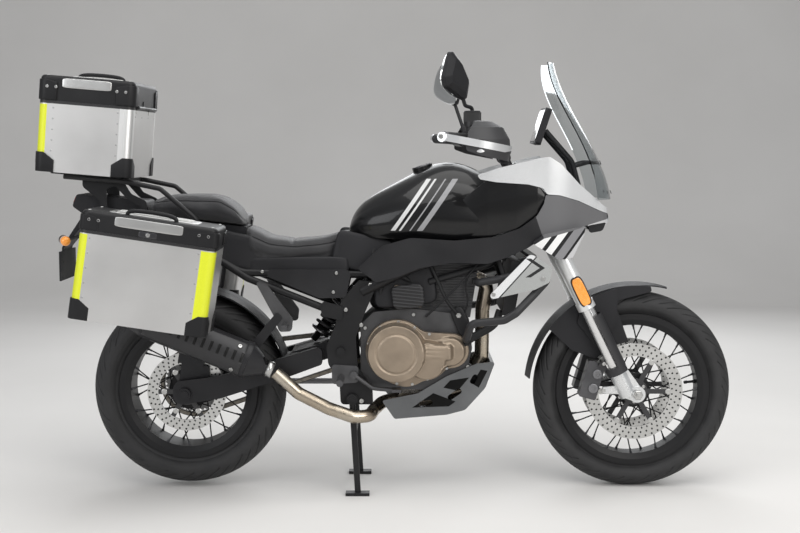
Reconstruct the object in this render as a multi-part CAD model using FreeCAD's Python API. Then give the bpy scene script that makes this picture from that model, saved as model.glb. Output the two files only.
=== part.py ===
import FreeCAD, Part
import os
from math import cos, radians, sin, tan

# Adventure touring motorcycle on its centre stand, in millimetres.
# +X is forward, +Y is the rider's left, +Z is up; the floor is Z = 0.

V = FreeCAD.Vector
UP = V(0, 0, 1)
ACROSS = V(0, 1, 0)

# ---- driving dimensions -------------------------------------------------------------
# wheels and steering
WHEELBASE = 1480.0
FRONT_AXLE_X = 803.0
REAR_LIFT = 12.0                 # rear tyre above the floor while on the centre stand
FRONT_TYRE_R = 329.5
FRONT_TYRE_W = 110.0
REAR_TYRE_R = 321.0
REAR_TYRE_W = 150.0
FRONT_BEAD_R = 241.3             # 19 inch rim
REAR_BEAD_R = 215.9              # 17 inch rim
FRONT_RIM_W = 80.0
REAR_RIM_W = 124.0
RIM_DEPTH = 24.0                 # from the bead seat in to the rim's inner face
RIM_WALL = 5.0
TYRE_WALL = 9.0
SPOKE_COUNT = 32
SPOKE_R = 2.2
SPOKE_LEAN = 52.0                # degrees between a spoke's two ends, seen from the side
RAKE = 26.0
STEM_TO_AXLE = 50.0              # axle ahead of the steering axis, square to it
STEM_TO_LEG = 25.0
LEG_Y = 105.0
STANCHION_R = 21.5
FORK_TUBE_R = 27.5
STEM_R = 15.0
FRONT_AXLE_R = 11.0
REAR_AXLE_R = 12.5
FRONT_DISC_R = 160.0
REAR_DISC_R = 130.0
DISC_T = 5.0
DISC_TO_LEG = 37.0               # front disc's middle in from the fork leg's
REAR_DISC_Y = 92.0

# frame, engine and swingarm
ENGINE_HALF_W = 115.0
FRAME_PLATE_T = 18.0
FRAME_TUBE_R = 17.0
RAIL_TUBE_R = 13.0
PIVOT_X = -167.0
PIVOT_Z = 475.0
PIVOT_R = 13.0
ARM_OUT_Y = 128.0
ARM_T = 26.0
SKID_T = 4.0
CRASH_TUBE_R = 12.7
SILENCER_R = 58.0
SILENCER_Y = 190.0
PIPE_R = 21.0
CHAIN_Y = 93.0
CHAIN_W = 16.0
CHAIN_H = 15.0
REAR_SPROCKET_R = 104.0
FRONT_SPROCKET_R = 40.0

# bodywork
SKIN = 4.0
TANK_HALF_W = 165.0
SEAT_HALF_W = 128.0
SHROUD_Y = 226.0
SCREEN_T = 4.0

# luggage
PANNIER_LENGTH = 410.0
PANNIER_DEPTH = 205.0
PANNIER_BODY_H = 270.0
PANNIER_LID_H = 60.0
PANNIER_OUT_Y = 480.0
PANNIER_TILT = 8.5               # nose down, degrees
PANNIER_X = -745.0
PANNIER_Z = 731.0
TOP_BOX_LENGTH = 300.0
TOP_BOX_WIDTH = 400.0
TOP_BOX_BODY_H = 225.0
TOP_BOX_LID_H = 80.0
TOP_BOX_TILT = 4.7
TOP_BOX_X = -983.0
TOP_BOX_Z = 1050.0
CASE_WALL = 2.0
LID_WALL = 3.0
CASE_CORNER_R = 22.0
HINGE_PIN_R = 2.5
KNUCKLE_R = 5.0
HINGE_OFFSET = 6.0               # hinge axis outside the case's wall
RACK_TUBE_R = 8.0

# controls
BAR_R = 11.1
GRIP_R = 17.0
BAR_END_Y = 430.0
PEG_R = 11.0

# fits
SEAT_GAP = 0.3                   # between pieces that seat on each other
RUNNING_GAP = 0.05               # radial, shaft in its hole
PAD_GAP = 1.0                    # brake pad to disc
BODY_GAP = 6.0                   # between pieces that move past each other
TYRE_GAP = 19.0                  # front mudguard round the tyre

# ---- places worked out from them ----------------------------------------------------
REAR_AXLE_X = FRONT_AXLE_X - WHEELBASE
FRONT_AXLE = V(FRONT_AXLE_X, 0, FRONT_TYRE_R)
REAR_AXLE = V(REAR_AXLE_X, 0, REAR_TYRE_R + REAR_LIFT)
FRONT_DISC_Y = LEG_Y - DISC_TO_LEG
STEER_UP = V(-sin(radians(RAKE)), 0, cos(radians(RAKE)))
STEER_AHEAD = V(cos(radians(RAKE)), 0, sin(radians(RAKE)))
STEM_FOOT = FRONT_AXLE - STEER_AHEAD * STEM_TO_AXLE
PIVOT = V(PIVOT_X, 0, PIVOT_Z)
FRAME_IN_Y = ENGINE_HALF_W + SEAT_GAP
FRAME_OUT_Y = FRAME_IN_Y + FRAME_PLATE_T

# heights along the steering axis, from its foot beside the axle
LOWER_CLAMP_S = 596.0
HEAD_TUBE_S = 618.0
HEAD_TUBE_LENGTH = 180.0
CLAMP_T = 22.0
UPPER_CLAMP_S = HEAD_TUBE_S + HEAD_TUBE_LENGTH


# ---- basic shapes -------------------------------------------------------------------
def rounded_corner(before, point, after, radius):
    """Start, middle and end of the arc that rounds one corner."""
    back = (before - point).normalize()
    ahead = (after - point).normalize()
    half = back.getAngle(ahead) / 2
    reach = radius / tan(half)
    inward = (back + ahead).normalize()
    middle = point + inward * (radius / sin(half) - radius)
    return point + back * reach, middle, point + ahead * reach


def path_edges(points, radii, closed=False):
    """Straight runs joined by tangent arcs, one radius for each point, 0 for a sharp one."""
    last = len(points) - 1
    corners = []
    for i, point in enumerate(points):
        if radii[i] and (closed or 0 < i < last):
            after = points[(i + 1) % len(points)]
            corners.append(rounded_corner(points[i - 1], point, after, radii[i]))
        else:
            corners.append((point, None, point))
    edges = []
    for i, (start, middle, end) in enumerate(corners):
        if middle is not None:
            edges.append(Part.Arc(start, middle, end).toShape())
        if i < last or closed:
            following = corners[(i + 1) % len(corners)][0]
            if end.distanceToPoint(following) > 0.001:
                edges.append(Part.LineSegment(end, following).toShape())
    return edges


def plate(outline, y_from, y_to):
    """Outline of (x, z, corner radius) rows in the side view, given a width."""
    points = [V(x, y_from, z) for x, z, _ in outline]
    wire = Part.Wire(path_edges(points, [row[2] for row in outline], closed=True))
    return Part.Face(wire).extrude(V(0, y_to - y_from, 0))


def plan_plate(outline, z_from, z_to):
    """Outline of (x, y, corner radius) rows in the top view, given a height."""
    points = [V(x, y, z_from) for x, y, _ in outline]
    wire = Part.Wire(path_edges(points, [row[2] for row in outline], closed=True))
    return Part.Face(wire).extrude(V(0, 0, z_to - z_from))


def rod(start, end, radius):
    way = end - start
    return Part.makeCylinder(radius, way.Length, start, way)


def bent_rod(points, bend, radius):
    """Round bar along straight runs that join in arcs of one bend radius."""
    edges = path_edges(points, [bend] * len(points))
    path = Part.Wire(edges)
    section = Part.Wire(Part.makeCircle(radius, points[0], points[1] - points[0]))
    return path.makePipeShell([section], True, False)


def turned(profile, centre):
    """Profile of (radius, y) rows turned round a crosswise axis."""
    points = [V(r, y, 0) for r, y in profile]
    face = Part.Face(Part.makePolygon(points + points[:1]))
    solid = face.revolve(V(0, 0, 0), ACROSS, 360)
    solid.translate(centre)
    return solid


def loft(wires):
    return Part.makeLoft(wires, True, False)


def mirrored(shape):
    return shape.mirror(V(0, 0, 0), ACROSS)


def both_sides(shape):
    return Part.makeCompound([shape, mirrored(shape)])


def merged(shapes):
    solid = shapes[0].multiFuse(shapes[1:])
    return solid.removeSplitter()


def along_stem(height, ahead=0.0, y=0.0):
    """Point at a height along the steering axis, ahead of it and to one side."""
    return STEM_FOOT + STEER_UP * height + STEER_AHEAD * ahead + V(0, y, 0)


# ---- wheels -------------------------------------------------------------------------
def tyre(centre, bead_r, tyre_r, width, rim_w):
    """Hollow tyre: crown and sidewalls as arcs, beads inside the rim's flanges."""
    height = tyre_r - bead_r
    bead_y = rim_w / 2 - RIM_WALL - SEAT_GAP
    foot_r = bead_r + SEAT_GAP
    flange_r = foot_r + 0.24 * height
    shoulder_r = tyre_r - 0.26 * height
    shoulder_y = 0.44 * width
    inner = TYRE_WALL

    def side(sign):
        outer_arc = Part.Arc(V(flange_r, sign * bead_y, 0), V(foot_r + 0.52 * height, sign * width / 2, 0),
                             V(shoulder_r, sign * shoulder_y, 0)).toShape()
        bulge = V(foot_r + 0.52 * height, sign * (width / 2 - inner), 0)
        low = Part.LineSegment(V(flange_r, sign * (bead_y - inner), 0), bulge).toShape()
        high = Part.LineSegment(bulge, V(shoulder_r - inner / 2, sign * (shoulder_y - inner), 0)).toShape()
        toe = Part.LineSegment(V(foot_r, sign * bead_y, 0), V(foot_r, sign * (bead_y - inner), 0)).toShape()
        heel = Part.LineSegment(V(foot_r, sign * bead_y, 0), V(flange_r, sign * bead_y, 0)).toShape()
        inside = Part.LineSegment(V(foot_r, sign * (bead_y - inner), 0),
                                  V(flange_r, sign * (bead_y - inner), 0)).toShape()
        return [outer_arc, low, high, toe, heel, inside]

    crown = Part.Arc(V(shoulder_r, -shoulder_y, 0), V(tyre_r, 0, 0), V(shoulder_r, shoulder_y, 0)).toShape()
    liner = [Part.LineSegment(V(shoulder_r - inner / 2, sign * (shoulder_y - inner), 0),
                              V(tyre_r - inner, 0, 0)).toShape() for sign in (1, -1)]
    edges = side(1) + side(-1) + [crown] + liner
    wire = Part.Wire(Part.__sortEdges__(edges))
    solid = Part.Face(wire).revolve(V(0, 0, 0), ACROSS, 360)
    solid.translate(centre)
    return solid


def rim(centre, bead_r, rim_w):
    """Drop-centre rim with raised flanges."""
    out = rim_w / 2
    flange_r = bead_r + 14
    well_r = bead_r - RIM_DEPTH + RIM_WALL
    inner_r = bead_r - RIM_DEPTH
    half = [(flange_r, out), (flange_r, out - RIM_WALL), (bead_r, out - RIM_WALL),
            (bead_r, out - 22), (well_r, out - 30)]
    far = [(r, -y) for r, y in reversed(half)]
    below = [(bead_r - RIM_WALL, -out), (inner_r, 8 - out), (inner_r, out - 8), (bead_r - RIM_WALL, out)]
    return turned(half + far + below, centre)


def hub(centre, bore_r, half_w, body_r, flange_r, flange_y):
    """Hub barrel with one flange a side that holds the spokes' heads."""
    half = [(bore_r, half_w), (body_r, half_w), (body_r, flange_y + 5), (flange_r, flange_y + 3),
            (flange_r, flange_y - 3), (body_r - 6, flange_y - 7)]
    far = [(r, -y) for r, y in reversed(half)]
    return turned(half + far, centre)


def spokes(centre, flange_r, flange_y, rim_r, rim_y):
    """Crossed wire spokes: every other one leans forwards, on both flanges."""
    bars = []
    for i in range(SPOKE_COUNT):
        side = 1 if i % 2 else -1
        lean = SPOKE_LEAN if i % 4 < 2 else -SPOKE_LEAN
        layer = 3.0 if lean > 0 else -3.0
        rim_angle = radians(360.0 * i / SPOKE_COUNT)
        hub_angle = rim_angle - radians(lean)
        head = V((flange_r - 5) * cos(hub_angle), side * flange_y + layer, (flange_r - 5) * sin(hub_angle))
        nipple = V((rim_r + 2) * cos(rim_angle), side * rim_y, (rim_r + 2) * sin(rim_angle))
        bars.append(rod(centre + head, centre + nipple, SPOKE_R))
    return bars


def spoked_wheel(centre, bead_r, rim_w, bore_r, half_w, body_r, flange_r, flange_y):
    """Rim, and the hub with its spokes, which end at the rim's inner face."""
    inner_r = bead_r - RIM_DEPTH
    bars = spokes(centre, flange_r, flange_y, inner_r, rim_w / 2 - 16)
    centre_piece = hub(centre, bore_r, half_w, body_r, flange_r, flange_y).multiFuse(bars)
    reach = Part.makeCylinder(inner_r - SEAT_GAP, rim_w + 200, centre - ACROSS * (rim_w / 2 + 100), ACROSS)
    return Part.makeCompound([rim(centre, bead_r, rim_w), centre_piece.common(reach)])


def brake_disc(centre, y, outer_r, band, hub_r, bore_r, arms, seat_y):
    """Brake disc on its carrier: a friction ring, arms, and a bolting ring against the hub."""
    low = min(y - DISC_T / 2, seat_y)
    high = max(y + DISC_T / 2, seat_y)
    ring = turned([(outer_r - band, y - DISC_T / 2), (outer_r, y - DISC_T / 2),
                   (outer_r, y + DISC_T / 2), (outer_r - band, y + DISC_T / 2)], centre)
    flange = turned([(bore_r, low), (hub_r, low), (hub_r, high), (bore_r, high)], centre)
    pieces = [ring, flange]
    for i in range(arms):
        arm = Part.makeBox(outer_r - band - hub_r + 12, DISC_T, 16, V(hub_r - 6, y - DISC_T / 2, -8))
        arm.rotate(V(0, 0, 0), ACROSS, 360.0 * i / arms)
        arm.translate(centre)
        pieces.append(arm)
    return merged(pieces)


FRONT_HUB_HALF_W = 60.0
REAR_HUB_HALF_W = 82.0


def front_discs():
    seat = FRONT_HUB_HALF_W + SEAT_GAP
    return both_sides(brake_disc(FRONT_AXLE, FRONT_DISC_Y, FRONT_DISC_R, 42, 44, 24, 6, seat))


def rear_disc():
    seat = -(REAR_HUB_HALF_W + SEAT_GAP)
    return brake_disc(REAR_AXLE, -REAR_DISC_Y, REAR_DISC_R, 36, 44, 24, 6, seat)


def rear_sprocket():
    """Toothed wheel bolted to the hub's left side."""
    teeth = 45
    seat = REAR_HUB_HALF_W + SEAT_GAP
    points = []
    for i in range(teeth):
        for radius, step in ((REAR_SPROCKET_R - 8, 0.0), (REAR_SPROCKET_R, 0.5)):
            turn = radians(360.0 * (i + step) / teeth)
            points.append(REAR_AXLE + V(radius * cos(turn), CHAIN_Y - 3, radius * sin(turn)))
    face = Part.Face(Part.makePolygon(points + points[:1]))
    wheel = face.extrude(ACROSS * 6)
    boss = turned([(24, seat), (62, seat), (62, CHAIN_Y - 3), (24, CHAIN_Y - 3)], REAR_AXLE)
    bore = Part.makeCylinder(24, 40, REAR_AXLE + ACROSS * (CHAIN_Y - 20), ACROSS)
    return merged([wheel.cut(bore), boss])


# ---- steering -----------------------------------------------------------------------
def stem_cylinder(radius, s_from, s_to, ahead=0.0, y=0.0):
    return Part.makeCylinder(radius, s_to - s_from, along_stem(s_from, ahead, y), STEER_UP)


def clamp_plate(s_low, grow):
    """Triple clamp: one plate square to the steering axis, round at each leg and at the stem."""
    rows = [(STEM_TO_LEG, LEG_Y, FORK_TUBE_R + grow), (STEM_TO_LEG, -LEG_Y, FORK_TUBE_R + grow), (0, 0, 34)]
    pieces = []
    for ahead, y, radius in rows:
        pieces.append(stem_cylinder(radius, s_low, s_low + CLAMP_T, ahead, y))
    for side in (1, -1):
        corners = [along_stem(s_low, -30, 0), along_stem(s_low, 34, 0),
                   along_stem(s_low, STEM_TO_LEG + 22, side * LEG_Y),
                   along_stem(s_low, STEM_TO_LEG - 22, side * LEG_Y)]
        web = Part.Face(Part.makePolygon(corners + corners[:1]))
        pieces.append(web.extrude(STEER_UP * CLAMP_T))
    return merged(pieces)


def triple_clamps():
    """Two clamps, the stem that joins them, and the bar risers."""
    lower = clamp_plate(LOWER_CLAMP_S - SEAT_GAP, 9)
    upper = clamp_plate(UPPER_CLAMP_S + SEAT_GAP, 7)
    stem = stem_cylinder(STEM_R, LOWER_CLAMP_S, UPPER_CLAMP_S + CLAMP_T)
    solid = merged([lower, upper, stem])
    for side in (1, -1):
        solid = solid.cut(stem_cylinder(FORK_TUBE_R + RUNNING_GAP, 560, 900, STEM_TO_LEG, side * LEG_Y))
    return solid


FORK_TUBE_LOW = 325.0
SPACER_R = 17.0
CASTING_TOP = 92.0


def fork_tubes():
    """Upper fork tubes, clamped, open at the lower end for the stanchions."""
    tube = stem_cylinder(FORK_TUBE_R, FORK_TUBE_LOW, UPPER_CLAMP_S + CLAMP_T + 8, STEM_TO_LEG, LEG_Y)
    collar = stem_cylinder(FORK_TUBE_R + 3, FORK_TUBE_LOW, FORK_TUBE_LOW + 26, STEM_TO_LEG, LEG_Y)
    bore = stem_cylinder(STANCHION_R + RUNNING_GAP, FORK_TUBE_LOW - 1, 560, STEM_TO_LEG, LEG_Y)
    return both_sides(merged([tube, collar]).cut(bore))


def axle_casting():
    """Cast fork foot: round boss at the axle, socket for the stanchion, two caliper arms."""
    near = LEG_Y - 24
    far = LEG_Y + 22
    boss = Part.makeCylinder(27, far - near, FRONT_AXLE + ACROSS * near, ACROSS)
    socket = stem_cylinder(STANCHION_R + 7, 6, CASTING_TOP, STEM_TO_LEG, LEG_Y)
    body = plate([(FRONT_AXLE_X + 24, 334, 0), (FRONT_AXLE_X + 2, 366, 8), (FRONT_AXLE_X - 30, 410, 6),
                  (FRONT_AXLE_X - 80, 404, 8), (FRONT_AXLE_X - 50, 320, 14),
                  (FRONT_AXLE_X - 12, 306, 0)], near + 10, far - 8)
    reach = FRONT_AXLE_X - FRONT_DISC_R + 48
    lower_arm = plate([(FRONT_AXLE_X - 46, 356, 4), (reach, 350, 6), (reach, 330, 6),
                       (FRONT_AXLE_X - 40, 326, 4)], near + 14, near + 26)
    upper_arm = plate([(FRONT_AXLE_X - 60, 400, 4), (reach - 4, 436, 6), (reach - 16, 420, 6),
                       (FRONT_AXLE_X - 72, 372, 4)], near + 14, near + 26)
    solid = merged([boss, socket, body, lower_arm, upper_arm])
    solid = solid.cut(Part.makeCylinder(SPACER_R + SEAT_GAP, near, FRONT_AXLE, ACROSS))
    return solid.cut(Part.makeCylinder(FRONT_AXLE_R + RUNNING_GAP, 400, FRONT_AXLE - ACROSS * 10, ACROSS))


GUARD_R = 36.0
GUARD_HIGH = 296.0


def fork_guard():
    """Stone guard: half a sleeve ahead of the stanchion, on a collar round the foot's socket."""
    sleeve = stem_cylinder(GUARD_R, CASTING_TOP + 14, GUARD_HIGH, STEM_TO_LEG, LEG_Y)
    sleeve = sleeve.cut(stem_cylinder(GUARD_R - 3, CASTING_TOP, GUARD_HIGH + 1, STEM_TO_LEG, LEG_Y))
    front = plate([(0, -30, 0), (60, -30, 0), (60, 230, 0), (0, 250, 30)], -60, 60)
    front.rotate(V(0, 0, 0), ACROSS, -RAKE)
    half = sleeve.common(front.translated(along_stem(CASTING_TOP, STEM_TO_LEG + 6, LEG_Y)))
    web = stem_cylinder(GUARD_R - 1, CASTING_TOP - 6, CASTING_TOP + 20, STEM_TO_LEG, LEG_Y)
    web = web.cut(stem_cylinder(STANCHION_R + 6.5, CASTING_TOP - 7, CASTING_TOP + 21, STEM_TO_LEG, LEG_Y))
    disc_side = FRONT_DISC_Y + DISC_T / 2 + BODY_GAP
    return merged([half, web]).common(Part.makeBox(900, 100, 900, V(300, disc_side, 0)))


def fork_legs():
    """Sliding legs: bright stanchions in cast feet, with the axle they hold."""
    stanchion = stem_cylinder(STANCHION_R, CASTING_TOP - 20, 550, STEM_TO_LEG, LEG_Y)
    leg = merged([stanchion, axle_casting(), fork_guard()])
    return Part.makeCompound(both_sides(leg).Solids + [front_axle()])


def front_axle():
    """Hollow axle with its two spacers, between the fork feet."""
    half = LEG_Y + 30
    bar = Part.makeCylinder(FRONT_AXLE_R, 2 * half, FRONT_AXLE - ACROSS * half, ACROSS)
    pieces = [bar]
    for side in (1, -1):
        start = FRONT_AXLE + ACROSS * (side * (FRONT_HUB_HALF_W + SEAT_GAP))
        reach = LEG_Y - 24 - FRONT_HUB_HALF_W - 2 * SEAT_GAP
        pieces.append(Part.makeCylinder(SPACER_R, reach, start, ACROSS * side))
    solid = merged(pieces)
    return solid.cut(Part.makeCylinder(FRONT_AXLE_R - 4, 4 * half, FRONT_AXLE - ACROSS * 2 * half, ACROSS))


def caliper_block(axle, y, radius, turn, inner_w, outer_w, size, depth):
    """Caliper round a disc's edge: two halves joined by a bridge outside the disc."""
    long_way, thick = size
    body = Part.makeBox(thick, DISC_T + 2 * PAD_GAP + inner_w + outer_w, long_way,
                        V(radius - depth, y - DISC_T / 2 - PAD_GAP - inner_w, -long_way / 2))
    slot = Part.makeBox(depth + PAD_GAP + 2, DISC_T + 2 * PAD_GAP, long_way + 2,
                        V(radius - depth - 1, y - DISC_T / 2 - PAD_GAP, -long_way / 2 - 1))
    solid = body.makeFillet(6, [e for e in body.Edges if abs(e.tangentAt(0).y) > 0.9]).cut(slot)
    solid.rotate(V(0, 0, 0), ACROSS, turn)
    solid.translate(axle)
    return solid


FRONT_CALIPER_TURN = -164.0
REAR_CALIPER_TURN = -80.0


def front_calipers():
    """Four-piston calipers on the fork feet's arms, behind the legs."""
    block = caliper_block(FRONT_AXLE, FRONT_DISC_Y, FRONT_DISC_R, FRONT_CALIPER_TURN, 18, 26, (124, 58), 40)
    return both_sides(block.cut(axle_casting_room()))


def axle_casting_room():
    """The fork foot with its seating gap, for what bolts to it."""
    return plate([(FRONT_AXLE_X - 30, 470, 0), (FRONT_AXLE_X - 160, 470, 0), (FRONT_AXLE_X - 160, 300, 0),
                  (FRONT_AXLE_X - 30, 300, 0)], LEG_Y - 10 - SEAT_GAP, LEG_Y + 60)


def front_mudguard():
    """Mudguard close round the tyre, with a pointed beak, side skirts and stays to the fork tubes."""
    inner = FRONT_TYRE_R + TYRE_GAP
    half = FRONT_TYRE_W / 2 + 9.4
    arch = turned([(inner, -half), (inner + SKIN, -half), (inner + SKIN + 8, 0), (inner + SKIN, half),
                   (inner, half), (inner + 8, 0)], FRONT_AXLE)
    wedge = plate([(FRONT_AXLE_X, FRONT_TYRE_R, 0), (FRONT_AXLE_X + 166, FRONT_TYRE_R + 500, 0),
                   (FRONT_AXLE_X - 500, FRONT_TYRE_R + 500, 0), (FRONT_AXLE_X - 500, FRONT_TYRE_R + 60, 0)],
                  -200, 200)
    beak = plan_plate([(FRONT_AXLE_X - 500, -200, 0), (FRONT_AXLE_X + 10, -200, 0),
                       (FRONT_AXLE_X + 10, -half, 0),
                       (FRONT_AXLE_X + 118, -16, 12), (FRONT_AXLE_X + 118, 16, 12),
                       (FRONT_AXLE_X + 10, half, 0),
                       (FRONT_AXLE_X + 10, 200, 0), (FRONT_AXLE_X - 500, 200, 0)], 0, 1000)
    pieces = [arch.common(wedge).common(beak)]
    skirt = plate([(FRONT_AXLE_X - 292, 544, 0), (FRONT_AXLE_X - 207, 466, 20), (FRONT_AXLE_X - 133, 440, 20),
                   (FRONT_AXLE_X - 12, 470, 14), (FRONT_AXLE_X - 61, 606, 16), (FRONT_AXLE_X - 58, 632, 16),
                   (FRONT_AXLE_X + 54, 662, 6), (FRONT_AXLE_X + 40, 720, 0), (FRONT_AXLE_X - 330, 720, 0)],
                  half - SKIN, half)
    skirt = skirt.common(Part.makeCylinder(inner + SKIN, 200, FRONT_AXLE, ACROSS))
    skirt = skirt.cut(Part.makeCylinder(FRONT_DISC_R + BODY_GAP, 200, FRONT_AXLE, ACROSS))
    low = (FRONT_DISC_R + 24) / 184
    stay = plate([(FRONT_AXLE_X - 60, FRONT_TYRE_R + 346, 8), (FRONT_AXLE_X - 176, FRONT_TYRE_R + 306, 8),
                  (FRONT_AXLE_X - 192, FRONT_TYRE_R + 230, 8),
                  (FRONT_AXLE_X - 120 * low, FRONT_TYRE_R + 140 * low, 8),
                  (FRONT_AXLE_X - 64, FRONT_TYRE_R + 230, 8)], half - 2, LEG_Y - FORK_TUBE_R - 3 - SEAT_GAP)
    return merged(pieces + both_sides(merged([skirt, stay])).Solids)


# ---- handlebar ----------------------------------------------------------------------
BAR_CENTRE = along_stem(UPPER_CLAMP_S + CLAMP_T + 64, -2)


def bar_points(side):
    """The bar's bends on one side, from its middle to its end."""
    return [BAR_CENTRE, BAR_CENTRE + V(0, side * 92, 0), BAR_CENTRE + V(-70, side * 200, 56),
            V(BAR_CENTRE.x - 208, side * BAR_END_Y, BAR_CENTRE.z + 65)]


def bar_tube(radius):
    """The whole bar from end to end."""
    return bent_rod([bar_points(-1)[i] for i in (3, 2, 1)] + bar_points(1)[1:], 60, radius)


def handlebar():
    """Bent tube bar held by two risers that bolt to the upper clamp."""
    bar = bar_tube(BAR_R)
    seat = UPPER_CLAMP_S + CLAMP_T + 2 * SEAT_GAP
    pieces = [bar]
    for side in (1, -1):
        post = stem_cylinder(15, seat, seat + 60, -2, side * 42)
        cap = Part.makeCylinder(20, 34, BAR_CENTRE + V(0, side * 42 - 17, 0), ACROSS)
        pieces += [post, cap]
    return merged(pieces)


def along_grip(side, reach):
    """Point on the bar's straight end, measured inwards from its tip."""
    tip = bar_points(side)[3]
    way = (bar_points(side)[2] - tip).normalize()
    return tip + way * reach


POT_TOP = 84.0                   # brake fluid pot's top above the bar's middle
MIRROR_FOOT = {1: 19.5, -1: POT_TOP + SEAT_GAP}


def bar_controls():
    """Grips, switch housings, levers with their perches, and the brake fluid pot."""
    groups = []
    for side in (1, -1):
        grip = rod(along_grip(side, 4), along_grip(side, 128), GRIP_R)
        housing = rod(along_grip(side, 129), along_grip(side, 172), 23)
        perch_at = along_grip(side, 196)
        perch = rod(along_grip(side, 178), along_grip(side, 206), 19)
        pivot = perch_at + V(38, side * 4, -4)
        arm = rod(perch_at + V(8, 0, -2), pivot, 10)
        lever_tip = along_grip(side, 14) + V(58, side * 4, -10)
        lever = rod(pivot, lever_tip, 6)
        ball = Part.makeSphere(9, lever_tip)
        group = merged([grip, housing, perch, arm, lever, ball,
                        rod(along_grip(side, 125), along_grip(side, 182), 15)])
        bore = rod(along_grip(side, -20), along_grip(side, 240), BAR_R + RUNNING_GAP)
        groups.append(group.cut(bore))
    pot_foot = along_grip(-1, 190) + V(-8, 0, 6)
    box = Part.makeBox(54, 44, POT_TOP - 54, pot_foot + V(-27, -22, 48))
    box = box.makeFillet(6, [edge for edge in box.Edges if abs(edge.tangentAt(0).z) > 0.9])
    pot = merged([groups[1], rod(pot_foot, pot_foot + V(0, 0, 36), 22), rod(pot_foot + V(0, 0, 34),
                                                                          pot_foot + V(0, 0, 50), 27), box])
    return Part.makeCompound([groups[0], pot.cut(rod(along_grip(-1, -20), along_grip(-1, 240),
                                                     BAR_R + RUNNING_GAP))])


GUARD_SLOPE = 10.7               # degrees the handguards fall towards the front


def handguard_strip(side):
    """Flat bar from the bar's end round the hand to a clamp at the bar's bend."""
    tip = bar_points(side)[3]
    rows = [(-13, 14), (40, 22), (206, 22), (206, -150), (179, -288)]
    points = [V(x, side * y, 0) for x, y in rows]
    path = Part.Wire(path_edges(points, [0, 40, 100, 60, 0]))
    across = (points[1] - points[0]).normalize().cross(UP) * 3
    corners = [points[0] + across + UP * 11, points[0] - across + UP * 11,
               points[0] - across - UP * 11, points[0] + across - UP * 11]
    strip = path.makePipeShell([Part.makePolygon(corners + corners[:1])], True, False)
    strip.rotate(V(0, 0, 0), ACROSS, GUARD_SLOPE)
    return strip.translated(tip)


def handguard_shield(side):
    """Domed shell in front of the hand, above and below the flat bar."""
    dome = [(0, 1218), (40, 1214), (74, 1196), (94, 1160), (98, 1124), (90, 1084)]
    outer = Part.Face(Part.makePolygon([V(0, 0, 1084)] + [V(r, 0, z) for r, z in dome] + [V(0, 0, 1084)]))
    inner = Part.Face(Part.makePolygon([V(0, 0, 1080)] + [V(max(r - 5, 0), 0, z - 4) for r, z in dome]
                                       + [V(0, 0, 1080)]))
    shell = outer.revolve(V(0, 0, 0), UP, 360).cut(inner.revolve(V(0, 0, 0), UP, 360))
    window = plate([(-2, 1240, 0), (200, 1240, 0), (200, 1096, 0), (96, 1092, 20), (0, 1112, 20),
                    (-44, 1128, 10),
                    (-36, 1180, 20)], -200, 200)
    hand_room = Part.makeBox(180, 90, 300, V(-116, -side * 52 - (90 if side > 0 else 0), 1000))
    return shell.common(window).cut(hand_room).translated(V(266, side * 352, 0))


def handguards():
    """Hand guards: a flat bar and a domed shield each, clamped to the handlebar."""
    guards = []
    for side in (1, -1):
        tip = bar_points(side)[3]
        outward = (tip - bar_points(side)[2]).normalize()
        end_bolt = rod(tip + outward * SEAT_GAP, tip + outward * 22, 15)
        inward = (bar_points(side)[1] - bar_points(side)[2]).normalize()
        grip_at = bar_points(side)[2] + inward * 78
        clamp = rod(grip_at - inward * 13, grip_at + inward * 13, 18)
        pieces = [handguard_strip(side), end_bolt, handguard_shield(side), clamp]
        guards.append(merged(pieces).cut(bar_tube(BAR_R + SEAT_GAP)))
    return Part.makeCompound(guards)


MIRROR_TURN = 35.0               # degrees each mirror turns in towards the rider


def mirrors():
    """Rear-view mirrors: a bent stem from the perch and a leaf-shaped head."""
    outline = [(-36, 84), (-72, 0), (-62, -30), (54, -72), (72, -18), (14, 52)]
    heads = []
    for side in (1, -1):
        foot = along_grip(side, 190) + V(-8, 0, MIRROR_FOOT[side])
        sections = []
        for depth, share in ((-9, 0.9), (-4, 1.0), (8, 0.96), (20, 0.66)):
            points = [V(depth, -side * u * share, w * share + depth * 0.2) for u, w in outline]
            sections.append(Part.Wire(path_edges(points, [14 * share] * 6, closed=True)))
        head = Part.makeLoft(sections, True, True)
        head.rotate(V(0, 0, 0), UP, side * MIRROR_TURN)
        centre = V(195, side * 330, 1348)
        root = centre + V(32, -side * 42, -84)
        stem = bent_rod([foot, foot + V(0, 0, 14), root, centre + V(18, -side * 27, -40)], 12, 6)
        heads.append(merged([head.translated(centre), stem]))
    return Part.makeCompound(heads)


# ---- frame, engine and swingarm -----------------------------------------------------
STAND_PIVOT = V(-130, 0, 318)
STAND_PIN_R = 9.0
SEAT_PAN_Z = 748.0
RAIL_ROWS = [(-72, 100, 722), (-330, 112, 728), (-490, 112, 730), (-700, 105, 848), (-980, 96, 908)]


def rail_at(x):
    """Centre of the left rail at x."""
    for (x_a, y_a, z_a), (x_b, y_b, z_b) in zip(RAIL_ROWS, RAIL_ROWS[1:]):
        if x_b <= x <= x_a:
            share = (x_a - x) / (x_a - x_b)
            return V(x, y_a + share * (y_b - y_a), z_a + share * (z_b - z_a))


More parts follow.
